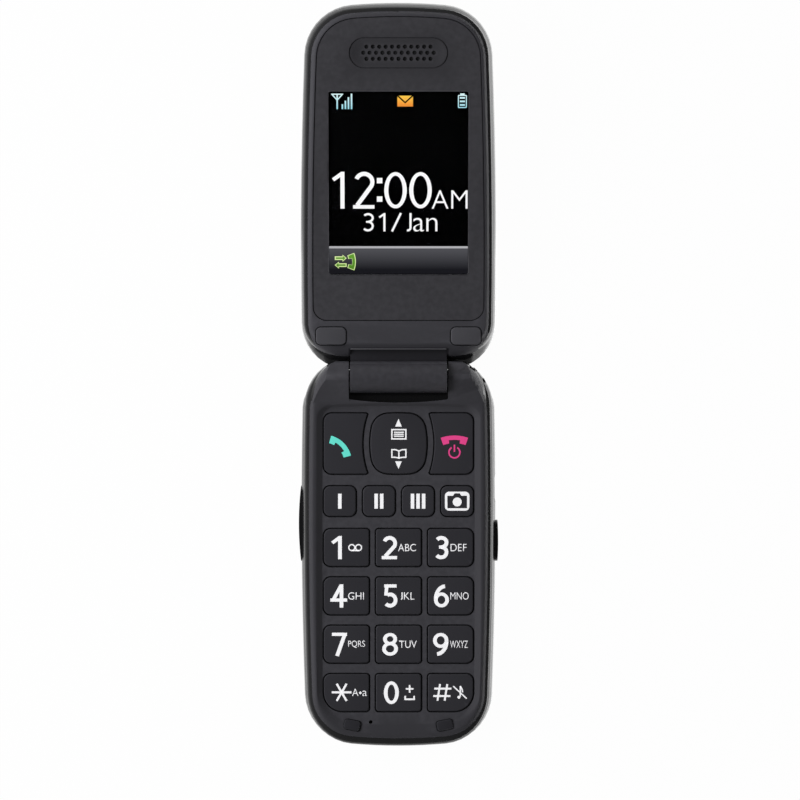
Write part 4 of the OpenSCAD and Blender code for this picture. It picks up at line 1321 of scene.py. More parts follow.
@dataclass(frozen=True)
class Sign:
    """A sign of one or more flat shapes, in millimetres about a point."""

    shapes: tuple[Shape, ...]
    at: Point

    def mesh(self) -> Piece:
        """Return the sign as a flat mesh in metres.

        Returns:
            The mesh object.
        """
        parts = [self._fill(shape) for shape in self.shapes]
        piece = joined(parts, "sign")
        place(piece, Matrix.Translation((self.at[0] * MM, self.at[1] * MM, 0)))
        return piece

    @staticmethod
    def _fill(shape: Shape) -> Piece:
        """Fill one shape, whose inner loops are holes.

        Args:
            shape: its loops, in millimetres.

        Returns:
            The flat mesh object.
        """
        curve = bpy.data.curves.new("outline", "CURVE")
        curve.dimensions = "2D"
        curve.fill_mode = "BOTH"
        for loop in shape:
            spline = curve.splines.new("POLY")
            spline.points.add(len(loop) - 1)
            for point, (x, y) in zip(spline.points, loop):
                point.co = (x * MM, y * MM, 0.0, 1.0)
            spline.use_cyclic_u = True
        piece = bpy.data.objects.new("outline", curve)
        bpy.context.scene.collection.objects.link(piece)
        pick(piece)
        bpy.ops.object.convert(target="MESH")
        return bpy.context.object


Mark = Union[Word, Sign]


def plate_of(marks: Iterable[Mark], name: str) -> Piece:
    """Return marks as one flat mesh whose faces look up, with its long edges divided.

    Args:
        marks: words and signs.
        name: the piece's name.

    Returns:
        The flat piece.
    """
    piece = joined([mark.mesh() for mark in marks], name)
    with EditMode(piece):
        bpy.ops.mesh.remove_doubles(threshold=1e-7)
        bpy.ops.mesh.quads_convert_to_tris()
        bpy.ops.mesh.subdivide(number_cuts=1)
    for face in piece.data.polygons:
        face.select = face.normal.z < 0
    with EditMode(piece, Start.KEPT):
        bpy.ops.mesh.flip_normals()
    return piece


# Sub-assemblies


@dataclass
class KeyCaps:
    """The nineteen keys: rounded caps with a crowned top and inked legends."""

    rim_bevel: float = 0.28 * MM
    crown_rings: tuple[float, ...] = (0.4 * MM, 0.9 * MM, 1.8 * MM, 2.8 * MM)
    crown_drop: float = 0.6 * MM
    rim_crease: float = 50.0
    ink_lift: float = 0.02 * MM
    ink_depth: float = 0.06 * MM
    figure_h: float = 6.35
    figure_line: float = 1.02
    letters: float = 2.0
    letter_weight: float = -0.003
    tight_weight: float = -0.004

    def big(self, digit: str, x: float, width: float) -> Sign:
        """Return a key's figure, in millimetres about the key's middle."""
        return Sign(tuple(figure(digit, width, self.figure_h, self.figure_line)), (x, 0))

    def legends(self) -> dict[str, list[tuple[Finish, list[Mark]]]]:
        """Return each key's inks and marks, in millimetres about the key's middle.

        Returns:
            For each key's CAD node, its coats of ink, each a finish and its marks.
        """
        white, rows = Finishes.ink_white, {}
        words = {
            "key_2": ("2", -2.5, 4.2, "ABC", 2.35, 4.9), "key_3": ("3", -2.6, 4.0, "DEF", 2.2, 4.4),
            "key_4": ("4", -2.1, 4.6, "GHI", 2.65, 4.3),
            "key_6": ("6", -2.5, 4.1, "MNO", 2.45, 5.0), "key_7": ("7", -1.9, 4.1, "PQRS", 2.8, 4.6),
            "key_8": ("8", -2.3, 4.3, "TUV", 2.6, 4.8), "key_9": ("9", -2.7, 4.2, "WXYZ", 2.3, 4.9),
        }
        for key, (digit, x, width, letters, letter_x, letter_width) in words.items():
            weight = self.tight_weight if letters in ("MNO", "PQRS", "WXYZ") else self.letter_weight
            small = Word(letters, (letter_x, 0), (letter_width, self.letters), weight)
            rows[key] = [(white, [self.big(digit, x, width), small])]
        hooked = [self.big("5", -2.3, 4.0), Sign(tuple(figure("J", 0.75, 2.0, 0.3)), (0.75, 0))]
        rows["key_5"] = [(white, [*hooked, Word("KL", (2.95, 0), (2.9, self.letters), self.letter_weight)])]
        one = [self.big("1", -2.7, 2.9), Sign(tuple(tape_sign(3.8, 1.95, 0.33)), (2.4, 0))]
        plus = Sign(([bar(0, 0, 2.1, 0.45)], [bar(0, 0, 0.45, 2.1)]), (3.05, 1.05))
        zero = [self.big("0", -1.95, 4.1), plus]
        zero.append(Sign(tuple(space_sign(2.9, 1.15, 0.45)), (3.05, -1.45)))
        capital = Word("A", (2.45, 0.1), (1.75, 2.0), -0.006)
        small_case = [capital, Word("a", (5.0, -0.18), (1.25, 1.45), -0.006)]
        diamond = Sign(([bar(0, 0, 0.62, 0.62, 45)],), (3.82, -0.05))
        rows["key_1"] = [(white, one)]
        rows["key_0"] = [(white, zero)]
        rows["key_star"] = [(white, [Sign(tuple(star_sign(5.4, 0.57)), (-1.3, 0.1)), *small_case, diamond])]
        crossbars = Sign(tuple(hash_sign(4.7, 4.6, 0.52)), (-2.25, 0.1))
        silence = Sign(tuple(crossed_note(3.7, 3.4, 0.36)), (2.55, 0.1))
        rows["key_hash"] = [(white, [crossbars, silence])]
        for count in (1, 2, 3):
            bars = tuple([bar((i - (count - 1) / 2) * 1.52, 0, 0.95, 4.1)] for i in range(count))
            rows[f"key_quick_{count}"] = [(white, [Sign(bars, (0, 0))])]
        rows["key_camera"] = [(white, [Sign(tuple(camera_sign(6.7, 5.2, 0.66)), (0, 0))])]
        receiver = turned(handset(7.7, 1.05, 1.3, 2.1, 0.5), -45)
        rows["key_call"] = [(Finishes.ink_green, [Sign((receiver,), (-0.9, -0.2))])]
        hung_up = moved(handset(7.5, 0.62, 1.2, 2.1, 0.55), 0, 1.9)
        power = [moved(shape, 0, -2.4) for shape in power_sign(1.5, 0.42)]
        rows["key_end"] = [(Finishes.ink_pink, [Sign((hung_up, *power), (0.85, 0))])]
        up = [[(-0.9, 4.65), (0.9, 4.65), (0, 6.75)]]
        down = [[(-0.9, -4.85), (0, -6.95), (0.9, -4.85)]]
        pages = [moved(shape, 0.1, -2.8) for shape in book_sign(4.2, 2.65, 0.36)]
        rows_sign = [moved(shape, 0.1, 2.55) for shape in list_sign(4.2, 2.9, 0.38)]
        rows["nav_key"] = [(white, [Sign((up, down, *pages, *rows_sign), (0, 0))])]
        return rows

    def cap(self, node: str) -> Piece:
        """Model one key cap over its CAD node.

        The crown's loose triangles give way to even rings that lie on the CAD crown. The rim is rounded.

        Args:
            node: the key's CAD node.

        Returns:
            The cap.
        """
        piece = merged_copy(node, f"{node}_cap", 0.01 * MM)
        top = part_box(node)[1].z
        select_faces(piece, lambda face: face.normal.z > 0.9 and face.center.z > top - self.crown_drop)
        with EditMode(piece, Start.KEPT):
            bpy.ops.mesh.delete(type="FACE")
            bpy.ops.mesh.select_all(action="DESELECT")
            bpy.ops.mesh.select_non_manifold(extend=False)
            bpy.ops.mesh.edge_face_add()
        crown = piece.vertex_groups.new(name="crown")
        low, high = self._lid_of(piece)
        middle, reach = (low + high) / 2, (high - low) / 2
        inner = 0.0
        for ring in self.crown_rings:
            self._lid_of(piece, select=True)
            scale = ((reach.x - ring) / (reach.x - inner), (reach.y - ring) / (reach.y - inner), 1.0)
            with EditMode(piece, Start.KEPT):
                bpy.ops.mesh.extrude_region()
                bpy.ops.transform.resize(value=scale, center_override=middle)
            inner = ring
            crown.add([v.index for v in piece.data.vertices if v.select], 1.0, "REPLACE")
        finish_with(
            piece, "SHRINKWRAP", target=NODES[node], vertex_group="crown", wrap_method="PROJECT",
            use_project_z=True, use_negative_direction=True, use_positive_direction=True,
        )
        select_creases(piece, lambda at: at.z > top - self.crown_drop, self.rim_crease)
        with EditMode(piece, Start.KEPT):
            bpy.ops.mesh.bevel(offset=self.rim_bevel, segments=3, affect="EDGES", clamp_overlap=True)
        piece.vertex_groups.clear()
        smooth(piece, 40.0)
        return piece

    @staticmethod
    def _lid_of(piece: Piece, select: bool = False) -> tuple[Vector, Vector]:
        """Return the corners of the box round a cap's one large upper face, and select it if asked.

        Args:
            piece: the cap.
            select: whether the face is selected.

        Returns:
            The lowest and the highest corner.
        """
        lid = max(piece.data.polygons, key=lambda face: len(face.vertices) if face.normal.z > 0.9 else 0)
        if select:
            select_faces(piece, lambda face: face.index == lid.index)
        return corners(piece.data.vertices[i].co for i in lid.vertices)

    def ink(self, cap: Piece, name: str, marks: list[Mark], middle: Vector) -> Piece:
        """Lay marks on a cap's crown as a thin coat of ink.

        Args:
            cap: the key cap.
            name: name of the piece.
            marks: the marks, about the key's middle.
            middle: the key's middle, above its crown.

        Returns:
            The ink.
        """
        piece = plate_of(marks, name)
        place(piece, Matrix.Translation(middle))
        finish_with(
            piece, "SHRINKWRAP", target=cap, wrap_method="PROJECT", offset=self.ink_lift,
            use_project_z=True, use_negative_direction=True, use_positive_direction=False,
        )
        finish_with(piece, "SOLIDIFY", thickness=self.ink_depth, offset=-1.0)
        face_outwards(piece)
        return piece

    def build(self) -> None:
        """Build every cap and its legend."""
        for node, coats in self.legends().items():
            cap = self.cap(node)
            low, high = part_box(node)
            middle = Vector(((low.x + high.x) / 2, (low.y + high.y) / 2, high.z + 1 * MM))
            for number, (finish, marks) in enumerate(coats, 1):
                seat(self.ink(cap, f"{node}_legend_{number}", marks, middle), BODY_OF[node], finish)
            seat(cap, BODY_OF[node], Finishes.key, node)


@dataclass
class LidPlane:
    """The plane of the open lid's face: x across, y from the hinge axis to the tip, z out of the face."""

    rim_drop: float = 0.2 * MM

    @staticmethod
    def hinge() -> dict:
        """Return the lid's joint."""
        return next(joint for joint in frame["joints"] if joint["name"] == "lid_hinge")

    def axis(self) -> Vector:
        """Return the middle of the hinge axis."""
        return Vector(self.hinge()["pos_m"])

    def matrix(self) -> Matrix:
        """Return the placement of the lid's flat drawing in the row frame.

        Returns:
            The matrix from the drawing to the row frame.
        """
        tilt = math.pi - math.radians(self.hinge()["range_deg"][1])
        turn = Matrix.Rotation(tilt, 4, "X")
        return Matrix.Translation(self.axis()) @ turn @ Matrix.Translation((0, 0, -self.rim_drop))

    def flat_box(self, node: str) -> tuple[Vector, Vector]:
        """Return the lowest and highest corner of a CAD node in the lid's flat drawing."""
        back = self.matrix().inverted()
        return corners(back @ vertex.co for vertex in NODES[node].data.vertices)


@dataclass(frozen=True)
class Shown:
    """One thing on the display: its piece's name, glow and marks, and its lift in mark thicknesses."""

    name: str
    glow: LitMark
    marks: list[Mark]
    lift: float = 0.0


@dataclass
class DisplayScreen:
    """The display: a clear window, the black face under it and what it shows."""

    plane: LidPlane
    glass_t: float = 0.3 * MM
    gap: float = 0.04 * MM
    mark_t: float = 0.02 * MM
    corner: float = 0.45 * MM
    glass_edge: float = 0.06 * MM
    face_edge: float = 0.03 * MM

    def lit(self, name: str, low: Colour, high: Colour, foot: float, head: float) -> LitMark:
        """Return a glow that changes between two heights of the display.

        Args:
            name: name of the finish.
            low: colour at the foot.
            high: colour at the head.
            foot: lower height, in millimetres from the display's middle.
            head: upper height.

        Returns:
            The finish.
        """
        ends = [(self.plane.matrix() @ (self.middle() + Vector((0, v * MM, 0)))).y for v in (foot, head)]
        return LitMark(name, Slot.DISPLAY, low, high, *ends)

    def middle(self) -> Vector:
        """Return the middle of the window's upper face in the lid's flat drawing."""
        low, high = self.plane.flat_box("display_window")
        return Vector(((low.x + high.x) / 2, (low.y + high.y) / 2, high.z))

    def shown(self) -> list[Shown]:
        """Draw what the display shows.

        Returns:
            The things on it, with marks in millimetres about the display's middle.
        """
        pale = self.lit("glow_white", (0.95, 0.95, 0.95), (1.0, 1.0, 1.0), -14, 4)
        cyan = self.lit("glow_cyan", (0.35, 0.75, 0.85), (0.75, 0.95, 0.95), 20.1, 24.4)
        amber = self.lit("glow_amber", (0.88, 0.28, 0.04), (1.0, 0.62, 0.08), 20.9, 23.8)
        shade = self.lit("glow_bar", (0.01, 0.01, 0.013), (0.08, 0.08, 0.09), -23.5, -18.0)
        line = self.lit("glow_line", (0.3, 0.3, 0.31), (0.48, 0.48, 0.5), -17.9, -17.3)
        green = self.lit("glow_green", (0.08, 0.22, 0.02), (0.14, 0.36, 0.04), -23.8, -18.9)
        lime = self.lit("glow_lime", (0.62, 0.82, 0.3), (0.75, 0.9, 0.42), -23.8, -18.9)
        hours = (("1", -16.3, 3.4), ("2", -9.4, 5.8), ("0", -0.8, 6.1), ("0", 5.95, 6.1))
        clock: list[Mark] = [
            Sign(tuple(figure(digit, width, 10.0, 1.12)), (x, -1.9)) for digit, x, width in hours]
        clock.append(Sign(tuple([bar(-5.1, y, 1.5, 1.45)] for y in (0.7, -4.3)), (0, 0)))
        clock.append(Word("AM", (13.85, -4.4), (9.7, 5.0), -0.012))
        days = (("3", -8.3, 3.2), ("1", -4.45, 1.85), ("/", -0.55, 3.0), ("J", 2.5, 2.1))
        date: list[Mark] = [
            Sign(tuple(figure(digit, width, 5.0, 0.58)), (x, -10.6)) for digit, x, width in days]
        date += [Word("a", (5.5, -11.27), (3.0, 3.7), -0.01), Word("n", (9.05, -11.25), (3.0, 3.65), -0.01)]
        heights = (1.3, 2.25, 3.2, 4.15)
        bars = tuple([bar(-15.1 + i * 0.82, 20.0 + h / 2, 0.42, h)] for i, h in enumerate(heights))
        aerial = Sign(tuple(aerial_sign(3.2, 4.15, 0.31)), (-16.5, 22.07))
        cell = Sign(tuple(cell_sign(2.4, 3.9, 0.26)), (17.2, 22.25))
        charge = Sign(tuple([bar(17.2, 21.12 + i * 0.95, 1.4, 0.46)] for i in range(3)), (0, 0))
        low_bar = Sign(([bar(0, -21.2, 37.6, 6.9)],), (0, 0))
        top_line = Sign(([bar(0, -17.45, 37.6, 0.6)],), (0, 0))
        arrows = ((1, -20.4), (-1, -22.3))
        fills = tuple(moved([arrow_loop(2.8, 1.5, -0.1, side)], -15.7, y) for side, y in arrows)
        rims = tuple(
            moved([arrow_loop(2.8, 1.5, grow, side) for grow in (0.2, -0.08)], -15.7, y)
            for side, y in arrows)
        receiver = moved(turned(handset(4.3, 0.4, 0.7, 1.55, 0.5), -90), -12.0, -21.35)
        halo = moved(turned(handset(4.8, 0.45, 1.0, 2.0, 0.58), -90), -11.8, -21.35)
        return [
            Shown("display_clock", pale, [*clock, *date]),
            Shown("display_signal", cyan, [Sign(bars, (0, 0)), aerial, cell]),
            Shown("display_charge", cyan, [charge]),
            Shown("display_letter", amber, [Sign(tuple(envelope_sign(4.2, 2.9, 0.36)), (1.8, 22.15))]),
            Shown("display_bar", shade, [low_bar]),
            Shown("display_bar_line", line, [top_line], 0.4),
            Shown("display_log_rim", lime, [Sign((*rims, halo), (0, 0))], 0.4),
            Shown("display_log", green, [Sign((*fills, receiver), (0, 0))], 0.8),
        ]

    def build(self) -> None:
        """Build the window, the black face and the lit marks."""
        low, high = self.plane.flat_box("display_window")
        to_row, middle = self.plane.matrix(), self.middle()
        size = Vector((high.x - low.x, high.y - low.y, self.glass_t))
        glass_at = middle - Vector((0, 0, self.glass_t / 2))
        glass = block("display_window_glass", size, glass_at, self.corner, self.glass_edge)
        face_top = high.z - self.glass_t - 2 * self.gap
        depth = face_top - low.z
        below = Vector((middle.x, middle.y, face_top - depth / 2))
        face_size = Vector((size.x, size.y, depth))
        face = block("display_black_face", face_size, below, self.corner, self.face_edge)
        for shown in self.shown():
            piece = plate_of(shown.marks, shown.name)
            level = face_top + self.mark_t * (1.0 + shown.lift)
            finish_with(piece, "SOLIDIFY", thickness=self.mark_t * 0.9, offset=-1.0)
            place(piece, to_row @ Matrix.Translation((middle.x, middle.y, level)))
            face_outwards(piece)
            seat(piece, "lid", shown.glow)
        for piece, finish in ((glass, Finishes.glass), (face, Finishes.unlit)):
            place(piece, to_row)
            seat(piece, "lid", finish, "display_window")


@dataclass
class Casings:
    """The four casings with their glossy edges, the battery cover, the panel and the soft pads."""

    plane: LidPlane
    crease: float = 38.0
    pad_bevel: float = 0.3 * MM
    pad_crease: float = 50.0
    pad_reach: float = 1.2 * MM
    pad_hair: float = 0.05 * MM
    valley_half: float = 13.4 * MM
    valley_foot: float = 3.0 * MM
    valley_head: float = 7.6 * MM
    valley_drop: float = 1.0 * MM
    slit_size: Vector = field(default_factory=lambda: Vector((1.7, 0.42, 3.0)) * MM)
    slit_at: Vector = field(default_factory=lambda: Vector((20.1, 2.35, -0.6)) * MM)
    slit_turn: float = -36.0
    lid_edge_w: float = 2.05 * MM
    base_edge_w: float = 2.2 * MM
    edge_drop: float = 0.15 * MM
    edge_tilt: float = -0.3
    least_side: float = 0.05 * MM

    def shell(self, node: str) -> Piece:
        """Dress a lofted casing: merged, and smooth but for its true creases.

        Args:
            node: the casing's CAD node.

        Returns:
            The dressed copy.
        """
        piece = merged_copy(node, f"{node}_skin")
        smooth(piece, self.crease)
        return piece

    def edge_test(self, cover: str, back: Matrix, level: float, width: float) -> FaceTest:
        """Return the test for a casing's glossy outer edge.

        Args:
            cover: CAD node whose outline the edge follows.
            back: from the row frame to the casing's flat drawing.
            level: level of the casing's face in the flat drawing.
            width: how far in from the outline the edge reaches.

        Returns:
            A test that a face of the edge passes.
        """
        flat = [(back @ vertex.co).to_2d() for vertex in NODES[cover].data.vertices]
        loop = [flat[i] for i in geometry.convex_hull_2d(flat)]
        pairs = [(a, b) for a, b in zip(loop, loop[1:] + loop[:1]) if (b - a).length > self.least_side]
        sides = [(a, (b - a).orthogonal().normalized()) for a, b in pairs]
        turn = back.to_3x3()

        def on_edge(face: bpy.types.MeshPolygon) -> bool:
            """Return whether a face looks outwards or up and lies close inside the outline.

            Args:
                face: a face of the casing.

            Returns:
                Whether it belongs to the edge.
            """
            at = back @ face.center
            if at.z > level - self.edge_drop or (turn @ face.normal).z < self.edge_tilt:
                return False
            return min(abs((at.to_2d() - a).dot(across)) for a, across in sides) < width

        return on_edge

    @staticmethod
    def finish_faces(piece: Piece, test: FaceTest, finish: Finish) -> None:
        """Give the faces that pass a test a finish of their own.

        Args:
            piece: the seated piece.
            test: called with each face.
            finish: the finish of the faces that pass.
        """
        piece.data.materials.append(finish.material())
        piece.active_material_index = len(piece.data.materials) - 1
        select_faces(piece, test)
        with EditMode(piece, Start.KEPT):
            bpy.ops.object.material_slot_assign()

    def cut_slit(self, piece: Piece) -> None:
        """Cut the strap's second slit through the shoulder's edge.

        Args:
            piece: the base's front casing.
        """
        cutter = block("strap_slit_cutter", self.slit_size, Vector(), 0.1 * MM, 0.02 * MM)
        at = self.plane.axis() + self.slit_at
        place(cutter, Matrix.Translation(at) @ Matrix.Rotation(math.radians(self.slit_turn), 4, "Z"))
        finish_with(piece, "BOOLEAN", object=cutter, operation="DIFFERENCE", solver="EXACT")
        bpy.data.objects.remove(cutter)

    def in_valley(self, face: bpy.types.MeshPolygon) -> bool:
        """Return whether a face of the lid's frame lies in the valley behind the knuckle.

        Args:
            face: a face of the frame.

        Returns:
            Whether it does.
        """
        at = self.plane.matrix().inverted() @ face.center
        behind = self.valley_foot < at.y < self.valley_head
        return abs(at.x) < self.valley_half and behind and at.z < -self.valley_drop

    def on_knuckle(self, face: bpy.types.MeshPolygon) -> bool:
        """Return whether a face of the lid's frame belongs to the knuckle on the hinge's axis."""
        at = self.plane.matrix().inverted() @ face.center
        return abs(at.x) < self.valley_half and at.y <= self.valley_foot

    def pad(self, node: str) -> Piece:
        """Dress soft pads: their upper rims are rounded over.

        Args:
            node: the pads' CAD node.

        Returns:
            The dressed copy.
        """
        piece = merged_copy(node, f"{node}_soft")
        with EditMode(piece):
            bpy.ops.mesh.dissolve_limited(angle_limit=math.radians(1.0))
        large = [face for face in piece.data.polygons if len(face.vertices) > 12]
        tops = [(face.center.copy(), face.normal.copy()) for face in large if face.normal.z > 0.8]

        def on_rim(at: Vector) -> bool:
            """Return whether a point lies in the plane of a pad's upper face, and near a pad's height."""
            near = any(abs(at.z - middle.z) < self.pad_reach for middle, _ in tops)
            return near and any(abs((at - middle).dot(up)) < self.pad_hair for middle, up in tops)

        select_creases(piece, on_rim, self.pad_crease)
        with EditMode(piece, Start.KEPT):
            bpy.ops.mesh.bevel(offset=self.pad_bevel, segments=3, affect="EDGES", clamp_overlap=True)
        smooth(piece)
        return piece

    def build(self) -> None:
        """Build the casings and pads."""
        for node in ("lid_outer_cover", "base_rear_casing", "battery_cover", "volume_rocker", "side_key"):
            seat(self.shell(node), BODY_OF[node], Finishes.shell, node)
        rim = self.plane.axis().z - self.plane.rim_drop
        lid_back = self.plane.matrix().inverted()
        faces = (
            ("lid_inner_frame", "lid_outer_cover", lid_back, 0.0, self.lid_edge_w),
            ("base_front_casing", "base_rear_casing", Matrix.Identity(4), rim, self.base_edge_w),
        )
        for node, cover, back, level, width in faces:
            face = self.shell(node)
            if node == "base_front_casing":
                self.cut_slit(face)
            finish = Finishes.lid_matt if BODY_OF[node] == "lid" else Finishes.matt
            seat(face, BODY_OF[node], finish, node)
            if node == "lid_inner_frame":
                # The knuckle's faces take a darker copy of the lid's plastic as painted shade.
                self.finish_faces(face, self.on_knuckle, Finishes.knuckle)
                # The valley's faces take a darker plastic as painted shade in that recess.
                self.finish_faces(face, self.in_valley, Finishes.painted_valley_shade)
            self.finish_faces(face, self.edge_test(cover, back, level, width), Finishes.shell)
        seat(self.shell("face_panel"), "lid", Finishes.panel, "face_panel")
        seat(self.pad("lid_pads"), "lid", Finishes.rubber, "lid_pads")
        seat(self.pad("tip_bumpers"), "base", Finishes.bumper, "tip_bumpers")


@dataclass
class PaintedLines:
    """Fine painted lines: a dark line round each pad and bumper as painted shadow in its groove, and a pale bar on
    the lid's edge over the knuckle and a pale ring round the display's opening as painted highlights.
    """

    plane: LidPlane
    line: float = 0.24
    line_t: float = 0.02 * MM
    pad_size: Point = (8.3, 4.85)
    bumper_size: Point = (4.5, 2.8)
    bumper_tilt: float = 11.0
    bumper_sink: float = 0.2 * MM
    # Width of the pale ring round the display's opening, a painted highlight.
    painted_highlight: float = 0.28
    brow_size: Vector = field(default_factory=lambda: Vector((26.2, 0.36, 0.4)) * MM)
    brow_at: Vector = field(default_factory=lambda: Vector((0.0, 7.66, -0.45)) * MM)

    def ring(self, size: Point, corner: float, line: float, turn: float = 0.0) -> Shape:
        """Return a rounded line close outside a rectangle.

        Args:
            size: the rectangle's sides, in millimetres.
            corner: its corner radius.
            line: the line's width.
            turn: its turn, in degrees.

        Returns:
            The line, with its hole.
        """
        wide = rounded(0, 0, size[0] + 2 * line, size[1] + 2 * line, corner + line)
        return turned([wide, rounded(0, 0, *size, corner)], turn)

    def lay(self, name: str, marks: list[Mark], matrix: Matrix, body: str, finish: Finish) -> None:
        """Lay marks as thin raised lines on a face.

        Args:
            name: the piece's name.
            marks: what is laid.
            matrix: placement of the face in the row frame.
            body: the body that it rides on.
            finish: its finish.
        """
        piece = plate_of(marks, name)
        finish_with(piece, "SOLIDIFY", thickness=self.line_t, offset=1.0)
        place(piece, matrix)
        face_outwards(piece)
        seat(piece, body, finish)

    def build(self) -> None:
        """Lay the painted groove shadows round the pads and the bumpers, and the painted highlights on the lid's
        edge over the knuckle and round the display's opening.
        """
        low, high = self.plane.flat_box("lid_pads")
        x, y = high.x / MM - self.pad_size[0] / 2, (low.y + high.y) / 2 / MM
        marks = [Sign((self.ring(self.pad_size, 1.4, self.line),), (side * x, y)) for side in (-1, 1)]
        # Dark rings round the pads: painted shadow of their grooves.
        self.lay("lid_pad_groove_shadows", marks, self.plane.matrix(), "lid", Finishes.joint)
        low, high = corners(vertex.co for vertex in NODES["tip_bumpers"].data.vertices)
        reach = high.x / MM - self.bumper_size[0] / 2
        middle = (low.y + high.y) / 2 / MM
        inner = tuple(part - self.line for part in self.bumper_size)
        marks = []
        for side in (-1, 1):
            shape = self.ring(inner, 0.6, self.line, side * self.bumper_tilt)
            marks.append(Sign((shape,), (side * (reach - 0.18), middle)))
        deck = Matrix.Translation((0, 0, high.z - self.bumper_sink))
        # Dark rings round the bumpers: painted shadow of their grooves.
        self.lay("tip_bumper_groove_shadows", marks, deck, "base", Finishes.joint)
        # A pale bar along the lid's face edge over the knuckle: a painted highlight.
        brow = block("hinge_brow_highlight", self.brow_size, self.brow_at, 0.1 * MM, 0.08 * MM)
        place(brow, self.plane.matrix())
        seat(brow, "lid", Finishes.painted_highlight)
        low, high = self.plane.flat_box("display_window")
        size = ((high.x - low.x) / MM, (high.y - low.y) / MM)
        at = ((low.x + high.x) / 2 / MM, (low.y + high.y) / 2 / MM)
        top = self.plane.flat_box("face_panel")[1].z
        # A pale ring round the display's opening: a painted highlight on its edge.
        painted_highlight = [Sign((self.ring(size, 0.5, self.painted_highlight),), at)]
        panel_top = self.plane.matrix() @ Matrix.Translation((0, 0, top))
        self.lay("display_opening_highlight", painted_highlight, panel_top, "lid", Finishes.painted_highlight)


@dataclass
class KeyMat:
    """The soft mat under the keys: a thin sheet, and a pad under each key."""

    sheet_t: float = 0.3 * MM
    room: float = 0.03 * MM
    hair: float = 0.001 * MM
    rim: float = 0.4 * MM
    kept: float = 0.07
    patch_corner: float = 1.0 * MM
    patch_edge: float = 0.06 * MM

    @staticmethod
    def sliced(name: str, level: float, above: bool) -> Piece:
        """Copy the mat and keep one side of a level cut, closed.

        Args:
            name: the new piece's name.
            level: height of the cut.
            above: whether the upper side is kept.

        Returns:
            The kept side, with the cut's faces still selected.
        """
        piece = merged_copy("key_mat", name)
        with EditMode(piece):
            bpy.ops.mesh.bisect(
                plane_co=(0, 0, level), plane_no=(0, 0, 1), use_fill=True,
                clear_inner=above, clear_outer=not above, threshold=1e-8,
            )
        return piece

    def build(self) -> None:
        """Build the sheet and the pads, and name each pad after the key nearest it."""
        top = min(vertex.co.z for vertex in NODES["key_mat"].data.vertices) + self.sheet_t
        sheet = self.sliced("key_mat_sheet", top - self.room, False)
        self.rocker_patch(sheet, top - self.sheet_t)
        smooth(sheet)
        seat(sheet, BODY_OF["key_mat"], Finishes.silicone, "key_mat")
        block_of_pads = self.sliced("key_mat_pads", top + self.hair, True)
        with EditMode(block_of_pads, Start.KEPT):
            bpy.ops.transform.translate(value=(0, 0, -self.room))
            bpy.ops.mesh.select_all(action="SELECT")
            bpy.ops.mesh.separate(type="LOOSE")
        caps = [node for node in NODES if node.startswith("key_") and node != "key_mat"]
        keys = {node: self.middle(NODES[node]) for node in caps}
        for pad in list(bpy.context.selected_objects):
            at = self.middle(pad)
            node = min(keys, key=lambda name: (keys[name] - at).length)
            pad.name = f"{node}_pad"
            smooth(pad)
            seat(pad, BODY_OF["key_mat"], Finishes.silicone, "key_mat")
            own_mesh(pad)

    def rocker_patch(self, sheet: Piece, foot: float) -> None:
        """Part the sheet's patch under the navigation key into a piece of its own.

        Args:
            sheet: the mat's sheet, which gets the opening.
            foot: level of the mat's underside.
        """
        low, high = self.outline(NODES["nav_key"])
        at = (low + high) / 2
        thick = self.sheet_t - self.room
        size = (high - low).to_3d() + Vector((self.rim, self.rim, thick))
        patch_at = Vector((at.x, at.y, foot + thick / 2))
        patch = block("nav_key_pad", size, patch_at, self.patch_corner, self.patch_edge)
        opening = size + Vector((self.room, self.room, MM))
        cutter = block("nav_opening", opening, at.to_3d(), self.patch_corner, self.patch_edge)
        place(cutter, Matrix.Translation((0, 0, foot)))
        finish_with(sheet, "BOOLEAN", object=cutter, operation="DIFFERENCE", solver="EXACT")
        bpy.data.objects.remove(cutter)
        seat(patch, BODY_OF["key_mat"], Finishes.silicone, "key_mat")
        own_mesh(patch)

    @staticmethod
    def outline(piece: Piece) -> tuple[Vector, Vector]:
        """Return the low and high corners of a piece, seen from above."""
        return corners(vertex.co.to_2d() for vertex in piece.data.vertices)

    @classmethod
    def middle(cls, piece: Piece) -> Vector:
        """Return the middle of a piece, seen from above."""
        low, high = cls.outline(piece)
        return (low + high) / 2


@dataclass
class InnerParts:
    """Boards, battery, hinge metal and the rest of the inside, each its CAD form with a real finish."""

    crease: float = 32.0
    darkened: dict[str, Finish] = field(default_factory=lambda: {
        "hinge_shaft": Finishes.black_steel,
        "hinge_pin": Finishes.black_steel,
        "hinge_cartridge": Finishes.black_steel,
        "hinge_bush": Finishes.bronze,
        "hinge_flex": Finishes.dark_flex,
        "microphone": Finishes.black_steel,
    })

    def build(self) -> None:
        """Dress every CAD node that no other sub-assembly has replaced."""
        taken = {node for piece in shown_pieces() for node in piece.get("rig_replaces", [])}
        for node in NODES:
            if node in taken:
                continue
            piece = merged_copy(node, f"{node}_dressed")
            smooth(piece, self.crease)
            seat(piece, BODY_OF[node], self.darkened.get(node, Finishes.for_slot(SLOT_OF[node])), node)


# Studio


